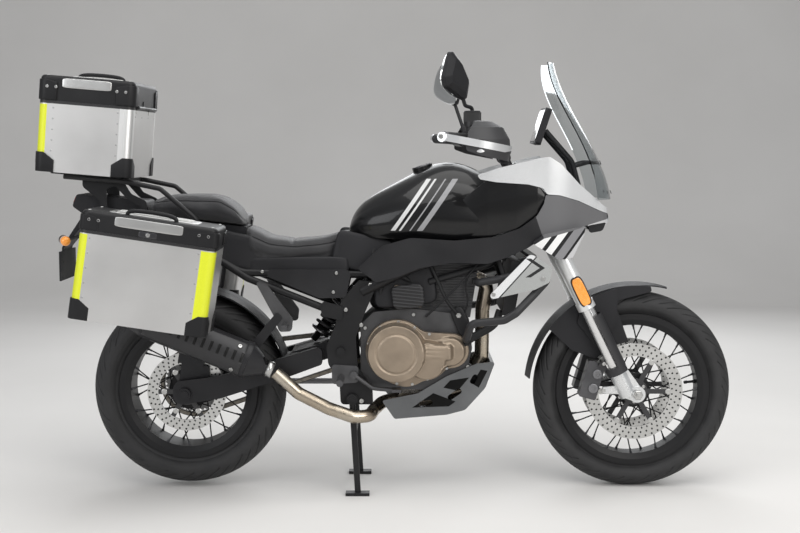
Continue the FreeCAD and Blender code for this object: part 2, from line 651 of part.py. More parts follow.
def frame_plates():
    """Side plates behind the engine that hold the swingarm's pivot and the stands."""
    outline = [(-45, 700, 18), (-108, 706, 12), (-165, 640, 40), (-184, 560, 40), (-214, 490, 26),
               (-208, 430, 30),
               (-172, 380, 30), (-168, 298, 14), (-62, 298, 10), (-64, 350, 14), (-112, 420, 40),
               (-118, 520, 40),
               (-88, 600, 30)]
    return both_sides(plate(outline, FRAME_IN_Y, FRAME_OUT_Y))


def frame_spar(radius):
    """Left spar, from the head tube over the engine to the side plate."""
    rows = [(468, 22, 912), (400, 60, 858), (340, 112, 832), (60, 132, 745), (-98, 124, 668)]
    return bent_rod([V(x, y, z) for x, y, z in rows], 70, radius)


def main_frame():
    """Head tube, two spars, pivot plates and the cross tubes between them."""
    head = stem_cylinder(34, HEAD_TUBE_S, HEAD_TUBE_S + HEAD_TUBE_LENGTH)
    spar = frame_spar(FRAME_TUBE_R)
    brace_rows = [(482, 12, 895), (400, 58, 824), (322, 104, 756), (120, 118, 700)]
    brace = bent_rod([V(x, y, z) for x, y, z in brace_rows], 60, 11)
    pads = [rod(V(240, 120, 790), V(240, 120, TANK_LOW_Z - 1.2), 12),
            rod(V(-60, 126, 688), V(-60, 88, TANK_LOW_Z + 8), 8).cut(
                Part.makeBox(60, 120, 60, V(-90, 40, TANK_LOW_Z - SEAT_GAP)))]
    pieces = [head] + [both_sides(piece) for piece in [spar, brace] + pads] + [frame_plates()]
    cross_rows = [(PIVOT_X, PIVOT_Z, PIVOT_R, 150), (-150, 338, 12, 130), (-85, 690, 14, 130),
                  (STAND_PIVOT.x, STAND_PIVOT.z, STAND_PIN_R, FRAME_OUT_Y + 26.7)]
    for x, z, radius, half in cross_rows:
        pieces.append(Part.makeCylinder(radius, 2 * half, V(x, -half, z), ACROSS))
    lug = rod(V(SIDE_STAND_PIVOT.x, FRAME_OUT_Y - 8, SIDE_STAND_PIVOT.z), SIDE_STAND_PIVOT - ACROSS * 16, 13)
    tilt = V(0, cos(radians(SIDE_STAND_SPLAY)), sin(radians(SIDE_STAND_SPLAY)))
    pin = rod(SIDE_STAND_PIVOT - tilt * 26, SIDE_STAND_PIVOT + tilt * 11, SIDE_STAND_PIN_R)
    solid = merged([s for piece in pieces for s in piece.Solids] + [lug, pin])
    bore = stem_cylinder(STEM_R + RUNNING_GAP, HEAD_TUBE_S - 1, HEAD_TUBE_S + HEAD_TUBE_LENGTH + 1)
    return solid.cut(bore)


def subframe():
    """Rear frame: two rails, lower struts to the pivot plates, cross tubes and the seat pan."""
    pieces = []
    for side in (1, -1):
        rail = bent_rod([V(x, side * y, z) for x, y, z in RAIL_ROWS], 90, RAIL_TUBE_R)
        strut = bent_rod([V(-202, side * 121, 606), V(-470, side * 119, 712), V(-560, side * 111, 769)], 70,
                         12)
        lug = plate([(-160, 622, 12), (-230, 640, 12), (-230, 590, 12), (-160, 574, 12)],
                    side * (FRAME_OUT_Y + SEAT_GAP), side * (FRAME_OUT_Y + 6))
        post = rod(V(-85, side * 100, 704 + SEAT_GAP), V(-85, side * 100, 720), 9)
        root = rod(V(-224, side * 121, 616), V(-224, side * (FRAME_OUT_Y + 3), 616), 10)
        pieces += [rail, strut, lug, post, root]
    for x, z in ((-330, 728), (-700, 848), (-965, 905)):
        pieces.append(rod(V(x, -108, z), V(x, 108, z), 9))
    pan = plan_plate([(-170, 96, 20), (-450, 108, 20), (-450, -108, 20), (-170, -96, 20)],
                     SEAT_PAN_Z - 22, SEAT_PAN_Z - 5 * SEAT_GAP)
    return merged([merged(pieces), pan])


SPROCKET_CENTRE = V(-75, 0, 470)


def engine_block():
    """Crankcase with the inclined cylinders and head as one plain block."""
    case = plate([(-103, 345, 20), (-103, 560, 20), (-60, 600, 20), (60, 612, 0), (250, 590, 20),
                  (262, 480, 30),
                  (240, 380, 30), (190, 345, 20)], -ENGINE_HALF_W, ENGINE_HALF_W)
    barrel = plate([(58, 600, 0), (92, 780, 14), (284, 762, 14), (256, 580, 0)], -95, 95)
    chain_room = belt_solid(FRONT_SPROCKET_R + CHAIN_H + BODY_GAP,
                            REAR_SPROCKET_R + CHAIN_H + BODY_GAP, 80, 60)
    return merged([case, barrel]).cut(chain_room)


def engine_covers():
    """Round side covers: clutch and water pump on the right, alternator on the left."""
    groups = []
    for side, rows in ((-1, ((13, 473, 91, 200), (112, 448, 62, 182), (190, 476, 46, 166))),
                       (1, ((112, 454, 78, 180), (190, 478, 46, 160)))):
        pieces = []
        for x, z, radius, out in rows:
            start = V(x, side * (ENGINE_HALF_W + SEAT_GAP), z)
            reach = out - ENGINE_HALF_W - SEAT_GAP
            base = Part.makeCylinder(radius, reach - 14, start, ACROSS * side)
            dome = Part.makeCone(radius, radius - 12, 14, start + ACROSS * (side * (reach - 14)),
                                 ACROSS * side)
            pieces += [base, dome]
        groups.append(merged(pieces))
    throttle = plate([(4, 618, 12), (4, 690, 12), (100, 690, 12), (100, 618, 12)], 95 + SEAT_GAP, 134)
    return Part.makeCompound(groups + [throttle, mirrored(throttle)])


def radiator():
    """Radiator core between two side tanks, tilted forward at the top."""
    core = Part.makeBox(34, 300, 172, V(358, -150, 600))
    tanks = [Part.makeBox(40, 16, 180, V(355, y, 596)) for y in (-166, 150)]
    solid = merged([core] + tanks)
    solid.rotate(V(358, 0, 600), ACROSS, 10)
    foot = V(372, 158, 690)
    way = V(326, 113, 827.6) - foot
    stub = rod(foot, foot + way * (1 - (FRAME_TUBE_R + 2 * SEAT_GAP) / way.Length), 8)
    return merged([solid] + both_sides(stub).Solids)


def radiator_shrouds():
    """Side scoops outside the radiator, each on a rib to the radiator's tank."""
    face = plate([(291, 650, 10), (439, 802, 16), (509, 756, 14), (499, 710, 14), (453, 687, 20),
                  (328, 659, 16)],
                 SHROUD_Y + 10, SHROUD_Y + 14)
    rib = Part.makeBox(50, SHROUD_Y + 11 - 166 - SEAT_GAP, 8, V(378, 166 + SEAT_GAP, 690))
    return both_sides(merged([face, rib]))


def crash_bars():
    """Tube loop on each side of the engine, from its lower front mount up to the head."""
    rows = [(240, ENGINE_HALF_W + SEAT_GAP, 518), (240, 176, 518), (252, 236, 578), (356, 246, 590),
            (393, 244, 612), (455, 219, 672), (504, 208, 724), (474, 190, 746), (350, 184, 716),
            (278, 150, 700),
            (274, 95 + SEAT_GAP, 700)]
    loop = bent_rod([V(x, y, z) for x, y, z in rows], 26, CRASH_TUBE_R)
    return both_sides(loop)


def skid_plate():
    """Folded plate under the engine: a trough with slotted sides, on four standoffs."""
    outline = [(8, 248, 10), (179, 262, 30), (240, 278, 30), (306, 352, 40), (337, 437, 6), (278, 432, 10),
               (179, 390, 30), (84, 333, 30), (-34, 309, 6)]
    half = ENGINE_HALF_W + 10
    outer = plate(outline, -half, half)
    side_view = Part.Face(Part.Wire(path_edges([V(x, SKID_T - half, z) for x, z, _ in outline],
                                               [row[2] for row in outline], closed=True)))
    inner = side_view.makeOffset2D(-SKID_T).extrude(ACROSS * 2 * (half - SKID_T))
    solid = outer.cut(inner)
    for back, lift in ((7, 10), (15, 22), (24, 34), (22, 0), (44, 0)):
        solid = solid.cut(inner.translated(V(-back, 0, lift)))
    for x, z, length, lean in ((110, 300, 46, 10), (205, 330, 52, 35), (268, 380, 34, 60)):
        slot = plate([(-length / 2, -9, 8.9), (length / 2, -9, 8.9), (length / 2, 9, 8.9),
                      (-length / 2, 9, 8.9)],
                     -half - 10, half + 10)
        slot.rotate(V(0, 0, 0), ACROSS, -lean)
        solid = solid.cut(slot.translated(V(x, 0, z)))
    posts = []
    for side in (1, -1):
        for x, z in ((150, 362), (236, 402)):
            posts.append(rod(V(x, side * (ENGINE_HALF_W + SEAT_GAP), z), V(x, side * (half - 3), z), 9))
    return merged([solid] + posts)


SILENCER_FOOT = V(-382, -SILENCER_Y, 420)
SILENCER_WAY = V(-0.926, 0, 0.3775)


def exhaust_headers():
    """Two headers down the engine's front, a collector under it, and the pipe to the silencer."""
    pieces = []
    for side in (1, -1):
        rows = [(280, 45, 700), (318, 45, 684), (302, 45, 600), (300, 45, 440), (238, 45, 330),
                (120, 40, 303)]
        pieces.append(bent_rod([V(x, side * y, z) for x, y, z in rows], 30, PIPE_R))
    collector = plate([(20, 282, 14), (150, 280, 14), (150, 326, 14), (20, 322, 14)], -68, 68)
    outlet = [(60, -20, 303), (-30, -34, 290), (-62, -100, 272), (-72, -172, 268), (-124, -SILENCER_Y, 268),
              (-204, -SILENCER_Y, 296), (-300, -SILENCER_Y, 345), (-376, -SILENCER_Y, 414)]
    pieces.append(bent_rod([V(x, y, z) for x, y, z in outlet], 40, PIPE_R))
    return merged(pieces + [collector])


def spun(profile, start, way):
    """Profile of (distance, radius) rows turned round an axis that starts at a point."""
    rows = [V(a, r, 0) for a, r in profile]
    closed = [V(profile[0][0], 0, 0)] + rows + [V(profile[-1][0], 0, 0)]
    solid = Part.Face(Part.makePolygon(closed + closed[:1])).revolve(V(0, 0, 0), V(1, 0, 0), 360)
    solid.Placement = FreeCAD.Placement(start, FreeCAD.Rotation(V(1, 0, 0), way))
    return solid


def silencer():
    """Long silencer on the right with a heat shield and a bracket to the passenger's hanger."""
    body = spun([(6, PIPE_R + 3), (30, PIPE_R + 3), (84, SILENCER_R), (440, SILENCER_R), (488, 44)],
                SILENCER_FOOT, SILENCER_WAY)
    tail = spun([(470, 24), (506, 24)], SILENCER_FOOT, SILENCER_WAY)
    strap = spun([(86, SILENCER_R + 3), (108, SILENCER_R + 3)], SILENCER_FOOT, SILENCER_WAY)
    tab = plate([(-374, 604, 8), (-354, 584, 8), (-440, 474, 10), (-466, 492, 10)],
                -HANGER_OUT_Y - SEAT_GAP, -HANGER_OUT_Y - 6)
    mouth = spun([(480, 18), (520, 18)], SILENCER_FOOT, SILENCER_WAY)
    throat = Part.makeCylinder(PIPE_R + RUNNING_GAP, 60, V(-376, -SILENCER_Y, 414), V(-76, 0, 69))
    return merged([body, tail, strap, tab]).cut(mouth).cut(throat).cut(exhaust_end_room())


def exhaust_end_room():
    """Space of the last run of the exhaust pipe, which ends in the silencer's inlet."""
    return rod(V(-300, -SILENCER_Y, 345), V(-376, -SILENCER_Y, 414), PIPE_R + RUNNING_GAP)


def swingarm_frame():
    """Two arms joined by a yoke at the pivot, with the rear axle and its spacers."""
    yoke = plate([(-150, 452, 10), (-150, 498, 10), (-215, 496, 10), (-335, 462, 8), (-335, 402, 8),
                  (-215, 440, 10)],
                 -80, 80)
    barrel = rod(PIVOT - ACROSS * 80, PIVOT + ACROSS * 80, 27)
    sleeve = rod(PIVOT - ACROSS * 112, PIVOT + ACROSS * 112, 18)
    end = REAR_AXLE_X - 39
    arm = plate([(-228, 430, 10), (-228, 490, 16), (end + 156, 392, 60), (end, 372, 30), (end, 292, 30),
                 (end + 156, 318, 60), (-330, 392, 40)], ARM_OUT_Y - ARM_T + 8, ARM_OUT_Y + 6)
    joiner = plate([(-234, 428, 4), (-234, 476, 4), (-335, 460, 4), (-335, 406, 4)], 78,
                   ARM_OUT_Y - ARM_T + 10)
    axle = rod(REAR_AXLE - ACROSS * 150, REAR_AXLE + ACROSS * 150, REAR_AXLE_R)
    nuts = rod(REAR_AXLE - ACROSS * 146, REAR_AXLE + ACROSS * 146, 20).cut(
        rod(REAR_AXLE - ACROSS * 130, REAR_AXLE + ACROSS * 130, 30))
    pieces = [yoke, barrel, sleeve, axle] + nuts.Solids
    for side in (1, -1):
        pieces.append(rod(REAR_AXLE + ACROSS * (side * (REAR_HUB_HALF_W + SEAT_GAP)),
                          REAR_AXLE + ACROSS * (side * 112), 17))
    pieces += both_sides(arm).Solids + both_sides(joiner).Solids
    return merged(pieces).cut(rod(PIVOT - ACROSS * 120, PIVOT + ACROSS * 120, PIVOT_R + RUNNING_GAP))


def rear_shock():
    """Spring and damper from the swingarm's yoke up to the frame's cross tube."""
    low = V(-266, 0, 492.4)
    high = V(-112, 0, 682)
    way = (high - low).normalize()
    length = (high - low).Length
    damper = spun([(0, 12), (34, 12), (34, 22), (length - 40, 22), (length - 40, 14), (length, 14)], low, way)
    spring = spun([(40, 36), (length - 50, 36)], low, way)
    return merged([damper, spring]).cut(Part.makeCylinder(14 + SEAT_GAP, 200, V(-85, -100, 690), ACROSS))


def belt_solid(radius_front, radius_rear, y_from, width):
    """Filled outline of a belt round the two sprockets."""
    front = V(SPROCKET_CENTRE.x, y_from, SPROCKET_CENTRE.z)
    rear = V(REAR_AXLE.x, y_from, REAR_AXLE.z)
    way = (front - rear).normalize()
    square = V(-way.z, 0, way.x)
    slope = (radius_rear - radius_front) / (front - rear).Length
    level = (1 - slope ** 2) ** 0.5
    corners = []
    for centre, radius, side in ((rear, radius_rear, 1), (front, radius_front, 1),
                                 (front, radius_front, -1), (rear, radius_rear, -1)):
        corners.append(centre + (way * slope + square * (side * level)) * radius)
    web = Part.Face(Part.makePolygon(corners + corners[:1])).extrude(ACROSS * width)
    ends = [Part.makeCylinder(radius_front, width, front, ACROSS),
            Part.makeCylinder(radius_rear, width, rear, ACROSS)]
    return merged([web] + ends)


def drive_chain():
    """Chain as one band round both sprockets, and the engine's output sprocket."""
    low = CHAIN_Y - CHAIN_W / 2
    outer = belt_solid(FRONT_SPROCKET_R + 0.5 + CHAIN_H, REAR_SPROCKET_R + 0.5 + CHAIN_H, low, CHAIN_W)
    inner = belt_solid(FRONT_SPROCKET_R + 0.5, REAR_SPROCKET_R + 0.5, low - 1, CHAIN_W + 2)
    sprocket = Part.makeCylinder(FRONT_SPROCKET_R, 8, SPROCKET_CENTRE + ACROSS * (CHAIN_Y - 4), ACROSS)
    shaft = Part.makeCylinder(14, CHAIN_Y - 80 - SEAT_GAP, SPROCKET_CENTRE + ACROSS * (80 + SEAT_GAP), ACROSS)
    return Part.makeCompound([outer.cut(inner), merged([sprocket, shaft])])


def rear_caliper():
    """Rear caliper above the arm's end, on a bracket beside the arm."""
    block = caliper_block(REAR_AXLE, -REAR_DISC_Y, REAR_DISC_R, REAR_CALIPER_TURN, 18, 14, (86, 52), 36)
    inner = ARM_OUT_Y - ARM_T + 8 - SEAT_GAP
    bracket = plate([(REAR_AXLE_X - 23, 356, 6), (REAR_AXLE_X + 77, 366, 6), (REAR_AXLE_X + 77, 420, 6),
                     (REAR_AXLE_X - 13, 440, 6)], -inner, -inner + 6)
    return merged([block, bracket])


def swingarm():
    return Part.makeCompound([swingarm_frame(), rear_caliper()])


def rear_hugger():
    """Mudguard close over the rear tyre's front, on a foot against the yoke."""
    inner = REAR_TYRE_R + 14
    arch = turned([(inner, -80), (inner + SKIN, -80), (inner + SKIN + 4, 0), (inner + SKIN, 80), (inner, 80),
                   (inner + 4, 0)], REAR_AXLE)
    wedge = plate([(REAR_AXLE_X - 30, REAR_AXLE.z, 0), (REAR_AXLE_X + 60, REAR_AXLE.z + 60, 0),
                   (REAR_AXLE_X + 600, REAR_AXLE.z + 100, 0), (REAR_AXLE_X + 600, REAR_AXLE.z + 600, 0),
                   (REAR_AXLE_X - 60, REAR_AXLE.z + 600, 0)], -100, 100)
    foot = Part.makeBox(30, 100, 5, V(-365.3, -50, 440))
    return merged([arch.common(wedge), foot])


# ---- bodywork -----------------------------------------------------------------------
TANK_LOW_Z = 842.0
WING_IN_Y = LEG_Y + FORK_TUBE_R + 19.5
WING_OUT_Y = WING_IN_Y + 20
NOSE_X = 706.0


def loaf(x, z_low, z_high, half_low, half_mid, half_top):
    """Tank or seat section: flat base, bowed sides and a domed top."""
    shoulder = z_high - 0.26 * (z_high - z_low)
    middle = (z_low + shoulder) / 2
    base = Part.LineSegment(V(x, -half_low, z_low), V(x, half_low, z_low)).toShape()
    left = Part.Arc(V(x, half_low, z_low), V(x, half_mid, middle), V(x, half_top, shoulder)).toShape()
    dome = Part.Arc(V(x, half_top, shoulder), V(x, 0, z_high), V(x, -half_top, shoulder)).toShape()
    right = Part.Arc(V(x, -half_top, shoulder), V(x, -half_mid, middle), V(x, -half_low, z_low)).toShape()
    return Part.Wire([base, left, dome, right])


def tank_wing():
    """Left wing: lofted out of the tank's side, bowed outwards, up to the fairing's front edge."""
    wires = []
    for x, z_low, z_high, y_low, y_mid, y_high in ((226, 852, 968, 1, 8, 1), (306, 848, 1034, 8, 18, 12),
                                                   (400, 876, 1030, 14, 20, 18), (466, 918, 1016, 12, 20, 18),
                                                   (488, 952, 994, 10, 17, 14)):
        low = V(x, WING_IN_Y + y_low, z_low)
        high = V(x, WING_IN_Y + y_high, z_high)
        side = Part.Arc(low, V(x, WING_IN_Y + y_mid, (z_low + z_high) / 2), high).toShape()
        inner = [V(x, WING_IN_Y, z_high), V(x, WING_IN_Y, z_low)]
        rest = [Part.LineSegment(*pair).toShape() for pair in ((high, inner[0]), inner, (inner[1], low))]
        wires.append(Part.Wire([side] + rest))
    return Part.makeLoft(wires, True, True)


def fuel_tank():
    """Fuel tank with a wing on each side that reaches forward past the head tube."""
    rows = [(-141, 858, 872, 38, 44, 34), (-118, 850, 928, 74, 84, 62), (-50, TANK_LOW_Z, 985, 112, 126, 96),
            (66, TANK_LOW_Z, 1048, 140, 157, 122), (160, TANK_LOW_Z, 1084, 150, TANK_HALF_W, 116),
            (250, TANK_LOW_Z, 1074, 151, TANK_HALF_W, 110), (306, 852, 1046, 148, 160, 100)]
    body = loft([loaf(*row) for row in rows])
    room = plate([(300, 800, 0), (600, 800, 0), (600, 1100, 0), (300, 1100, 0)], -WING_IN_Y, WING_IN_Y)
    cap = Part.makeCylinder(34, 16, V(104, 0, 1056), V(-0.3, 0, 1))
    return merged([body.cut(room), cap] + both_sides(tank_wing()).Solids)


def nose_plan(grow):
    """Solid with the fairing's outline in the top view, grown or drawn in by an amount."""
    out = WING_OUT_Y + SEAT_GAP + SKIN
    rows = [(-160, -out, 0), (540, -out, 200), (NOSE_X, -96, 40), (NOSE_X, 96, 40), (540, out, 200),
            (-160, out, 0)]
    points = [V(x, y, 600) for x, y, _ in rows]
    face = Part.Face(Part.Wire(path_edges(points, [row[2] for row in rows], closed=True)))
    if grow:
        face = face.makeOffset2D(grow)
    return face.extrude(V(0, 0, 600))


def nose_shell():
    """Thin wall along the fairing's outline in the top view."""
    return nose_plan(0).cut(nose_plan(-SKIN))


def side_panels():
    """Dark cowl on each side: from the nose, under the light band and the tank, back to the seat."""
    outline = [(-111, 748, 10), (-30, 822, 40), (60, 847, 60), (200, 838, 90), (333, 850, 60), (410, 878, 50),
               (464, 916, 40), (486, 956, 20), (492, 983.5, 4), (538, 981.5, 6), (602, 962.5, 20),
               (676, 929, 10),
               (720, 914, 0), (720, 884, 0), (690, 892, 10), (648, 886, 10), (590, 874, 20), (484, 846, 40),
               (435, 814, 40), (370, 784, 40), (307, 763, 60), (192, 766, 60), (90, 750, 40), (20, 722, 40),
               (-50, 703, 14)]
    band = plate(outline, -220, 220)
    lamp_room = Part.makeBox(200, 2 * (LAMP_HALF_W + SEAT_GAP), 300, V(640, -LAMP_HALF_W - SEAT_GAP, 800))
    inner = FRAME_OUT_Y + SEAT_GAP
    cover = plate([(-459, 742, 14), (-130, 742, 20), (-150, 650, 16), (-236, 648, 20)], inner, inner + SKIN)
    halves = nose_shell().common(band).cut(lamp_room)
    return Part.makeCompound(halves.Solids + both_sides(cover).Solids + both_sides(winglet()).Solids)


WINGLET_OUT = 26.0


def winglet():
    """Left winglet: a blade outside the cowl that follows its curve, on a shelf and a rear wall."""
    outline = [(446, 832, 6), (484, 860, 20), (585, 879, 30), (622, 881, 5), (617, 858, 8), (579, 784, 8),
               (535, 778, 20)]
    left = plan_plate([(300, 20, 0), (760, 20, 0), (760, 300, 0), (300, 300, 0)], 700, 1000)
    blade = nose_plan(WINGLET_OUT).cut(nose_plan(WINGLET_OUT - SKIN))
    blade = blade.common(plate(outline, -300, 300)).common(left)
    shelf = plate([(451, 834, 0), (484, 859, 0), (585, 878, 0), (585, 874, 0), (486, 855, 0), (453, 830, 0)],
                  -300, 300)
    ribs = shelf.common(nose_plan(WINGLET_OUT - 1).cut(nose_plan(SEAT_GAP))).common(left)
    return merged([blade] + ribs.Solids)


STRUT_OUT_Y = 131.3
HANGER_OUT_Y = 140.0


def upper_fairing():
    """Light upper band from the tank's front round to the headlight."""
    outline = [(272, 1047, 4), (339, 1070, 30), (474, 1102, 30), (504, 1106, 14), (540, 1083, 20),
               (603, 1018, 30),
               (690, 946, 20), (720, 928, 0), (720, 915, 0), (676, 930.5, 10), (602, 964, 20), (538, 983, 6),
               (496, 986, 12), (483, 1006, 16), (435, 1018, 30), (333, 1025, 30), (282, 1034, 6)]
    band = plate(outline, -220, 220)
    lamp_room = Part.makeBox(200, 2 * (LAMP_HALF_W + SEAT_GAP), 300, V(640, -LAMP_HALF_W - SEAT_GAP, 800))
    solid = nose_shell().common(band).cut(lamp_room)
    for shift in (-SEAT_GAP, SEAT_GAP):
        solid = solid.cut(windscreen().translated(V(shift, 0, 0)))
    return Part.makeCompound([piece for piece in solid.Solids if piece.Volume > 5000])


LAMP_HALF_W = 88.0


def headlight():
    """Headlight between the fairing's two sides, on the stay's cross bar."""
    return plate([(642 + SEAT_GAP, 856, 10), (688, 864, 16), (706, 912, 14), (694, 946, 12),
                  (642 + SEAT_GAP, 962, 6)],
                 -LAMP_HALF_W, LAMP_HALF_W)


def windscreen():
    """Clear screen, bowed across, that leans back with height."""
    wires = []
    for z, x_mid, x_edge, half_w in ((966, 724, 668, 128), (1080, 688, 640, 152), (1183, 633, 592, 158),
                                     (1281, 578, 540, 150), (1410, 531, 505, 92)):
        front = Part.Arc(V(x_edge, -half_w, z), V(x_mid, 0, z), V(x_edge, half_w, z)).toShape()
        back = Part.Arc(V(x_edge - SCREEN_T, half_w, z), V(x_mid - SCREEN_T, 0, z),
                        V(x_edge - SCREEN_T, -half_w, z)).toShape()
        left = Part.LineSegment(V(x_edge, half_w, z), V(x_edge - SCREEN_T, half_w, z)).toShape()
        right = Part.LineSegment(V(x_edge - SCREEN_T, -half_w, z), V(x_edge, -half_w, z)).toShape()
        wires.append(Part.Wire([front, left, back, right]))
    return loft(wires)


def fairing_stay():
    """Stay from the head tube between the fork legs, with the display and the screen's arms."""
    tongue = plate([(470, 884, 0), (470, 985, 0), (600, 990, 20), (642, 960, 6), (642, 916, 6),
                    (604, 930, 6)], -28, 28)
    cross = plate([(608, 922, 4), (608, 960, 8), (642, 958, 4), (642, 916, 4)], -118, 118)
    head_room = stem_cylinder(34 + SEAT_GAP, 500, 900)
    clamp_room = stem_cylinder(160, 500, 626)
    pieces = [tongue.cut(head_room).cut(clamp_room), cross]
    for side in (1, -1):
        pieces.append(bent_rod([V(626, side * 62, 952), V(588, side * 62, 1090), V(500, side * 62, 1190)],
                               60, 9))
        arm = bent_rod([V(590, side * 62, 1072), V(640, side * 66, 1086), V(690, side * 70, 1086)], 20, 6)
        pieces.append(min(arm.cut(windscreen().translated(V(-SEAT_GAP, 0, 0))).Solids,
                          key=lambda piece: piece.CenterOfMass.x))
    display = Part.makeBox(20, 180, 122, V(-10, -90, -61))
    display = display.makeFillet(8, [e for e in display.Edges if abs(e.tangentAt(0).x) > 0.9])
    display.rotate(V(0, 0, 0), ACROSS, 18)
    pieces.append(display.translated(V(492, 0, 1204)))
    return merged(pieces)


def rider_seat():
    """Rider's cushion on the seat pan."""
    rows = [(-470, SEAT_PAN_Z, 872, 118, 126, 112), (-400, SEAT_PAN_Z, 836, 122, SEAT_HALF_W, 116),
            (-320, SEAT_PAN_Z, 826, 116, 124, 106), (-220, SEAT_PAN_Z, 838, 88, 98, 80),
            (-146, SEAT_PAN_Z + 20, 855, 52, 60, 46)]
    return loft([loaf(*row) for row in rows])


def tail_top(x):
    """Height of the tail's upper face, which carries the passenger's cushion."""
    return 876 + (-478 - x) * 0.11


def passenger_seat():
    """Passenger's cushion, a step above the rider's."""
    rows = []
    for x, z_high, half_low, half_mid, half_top in ((-788, 966, 96, 102, 88), (-720, 980, 110, 118, 104),
                                                    (-560, 980, 118, 126, 112), (-505, 940, 118, 126, 112),
                                                    (-480, 892, 112, 118, 104)):
        rows.append(loaf(x, tail_top(x) + SEAT_GAP, z_high, half_low, half_mid, half_top))
    return Part.makeLoft(rows, True, True)


def tail_unit():
    """Tail cover between the rails, with the rear light at its end."""
    body = plate([(-478, tail_top(-478), 0), (-790, tail_top(-790), 0), (-806, 962, 12), (-1030, 984, 10),
                  (-1046, 944, 10), (-1010, 918, 20), (-830, 872, 30), (-560, 838, 30), (-478, 846, 6)], -76,
                  76)
    return body.cut(rail_room())


def rail_room():
    rails = [bent_rod([V(x, side * y, z) for x, y, z in RAIL_ROWS], 90,
                      RAIL_TUBE_R + SEAT_GAP) for side in (1, -1)]
    bars = [rod(V(x, -108, z), V(x, 108, z), 9 + SEAT_GAP) for x, z in ((-700, 848), (-965, 905))]
    return Part.makeCompound(rails + bars)


PLATE_X = -1085.0


def tail():
    return Part.makeCompound([tail_unit(), plate_bracket()])


def plate_bracket():
    """Rear mudguard strip down to the bracket for a number plate, with the turn signals."""
    strip = plate([(-900, 889.4, 0), (-1000, 914.9, 0), (-1022, 905, 8), (PLATE_X - 2, 808, 16),
                   (PLATE_X - 2, 702, 0),
                   (PLATE_X + 3, 702, 0), (PLATE_X + 3, 803, 16), (-1008, 892, 10), (-900, 866, 6)], -60, 60)
    pad = Part.makeBox(6, 200, 96, V(PLATE_X - 2, -100, 700))
    stalk = rod(V(-1052, -150, 838), V(-1052, 150, 838), 7)
    lamps = [rod(V(-1064, side * 128, 838), V(-1040, side * 196, 838), 15) for side in (1, -1)]
    solid = merged([strip, pad, stalk] + lamps).cut(rail_room())
    for side in (1, -1):
        solid = solid.cut(Part.makeCylinder(3.2, 40, V(PLATE_X - 20, side * 70, 760), V(1, 0, 0)))
    return solid


# ---- luggage ------------------------------------------------------------------------
def tilted(shape, tilt, place):
    shape = shape.copy()
    shape.rotate(V(0, 0, 0), ACROSS, tilt)
    shape.translate(place)
    return shape


def case_body(length, y_from, y_to, height):
    """Open-topped aluminium box."""
    half = length / 2
    corner = CASE_CORNER_R

    def block(inset, z_from, z_to):
        rows = [(-half + inset, y_from + inset, corner - inset),
                (half - inset, y_from + inset, corner - inset),
                (half - inset, y_to - inset, corner - inset), (-half + inset, y_to - inset, corner - inset)]
        return plan_plate(rows, z_from, z_to)

    return block(0, 0, height).cut(block(CASE_WALL, CASE_WALL, height + 1))


def case_lid(length, y_from, y_to, height, lid_h):
    """Lid: a shallow cap the same size as the box."""
    half = length / 2
    low = height + SEAT_GAP
    corner = CASE_CORNER_R

    def block(inset, z_from, z_to):
        rows = [(-half + inset, y_from + inset, corner - inset),
                (half - inset, y_from + inset, corner - inset),
                (half - inset, y_to - inset, corner - inset), (-half + inset, y_to - inset, corner - inset)]
        return plan_plate(rows, z_from, z_to)

    cap = block(0, low, height + lid_h)
    top_edges = [e for e in cap.Edges if e.BoundBox.ZMin > height + lid_h - 0.1]
    return cap.makeFillet(12, top_edges).cut(block(LID_WALL, low - 1, height + lid_h - LID_WALL - 4))


def hinge(length):
    """Butt hinge along X, with the case on its -Y side: the leaf with the pin, and the lid's leaf."""
    third = length / 3
    near = SEAT_GAP - HINGE_OFFSET
    fixed = []
    for start in (-length / 2, length / 6 + 0.5):
        fixed.append(Part.makeCylinder(KNUCKLE_R, third - 0.5, V(start, 0, 0), V(1, 0, 0)))
        fixed.append(Part.makeBox(third - 0.5, 2.5, 20, V(start, near, -21)))
        fixed.append(Part.makeBox(third - 0.5, -near - 1, 3, V(start, near, -4.5)))
    fixed.append(Part.makeCylinder(HINGE_PIN_R, length, V(-length / 2, 0, 0), V(1, 0, 0)))
    start = -length / 6 + 0.5
    moving = [Part.makeCylinder(KNUCKLE_R, third - 1, V(start, 0, 0), V(1, 0, 0)),
              Part.makeBox(third - 1, 2.5, 20, V(start, near, 1)),
              Part.makeBox(third - 1, -near - 1, 3, V(start, near, 1.5))]
    bore = Part.makeCylinder(HINGE_PIN_R + RUNNING_GAP, length, V(-length / 2, 0, 0), V(1, 0, 0))
    return merged(fixed), merged(moving).cut(bore)


PANNIER_IN_Y = PANNIER_OUT_Y - PANNIER_DEPTH


def pannier(part):
    """Right pannier's body or lid, with its half of the hinge along the inner edge."""
    fixed, moving = hinge(PANNIER_LENGTH - 80)
    place = V(0, -PANNIER_IN_Y + HINGE_OFFSET, PANNIER_BODY_H + SEAT_GAP / 2)
    if part == "body":
        shapes = [case_body(PANNIER_LENGTH, -PANNIER_OUT_Y, -PANNIER_IN_Y, PANNIER_BODY_H),
                  fixed.translated(place)]
    else:
        shapes = [case_lid(PANNIER_LENGTH, -PANNIER_OUT_Y, -PANNIER_IN_Y, PANNIER_BODY_H, PANNIER_LID_H),
                  moving.translated(place)]
    low = V(0, 0, -PANNIER_BODY_H / 2)
    return [tilted(s.translated(low), PANNIER_TILT, V(PANNIER_X, 0, PANNIER_Z)) for s in shapes]


def pannier_bodies():
    right = Part.makeCompound(pannier("body"))
    return both_sides(right)


def right_pannier_lid():
    return Part.makeCompound(pannier("lid"))


def left_pannier_lid():
    return mirrored(right_pannier_lid())


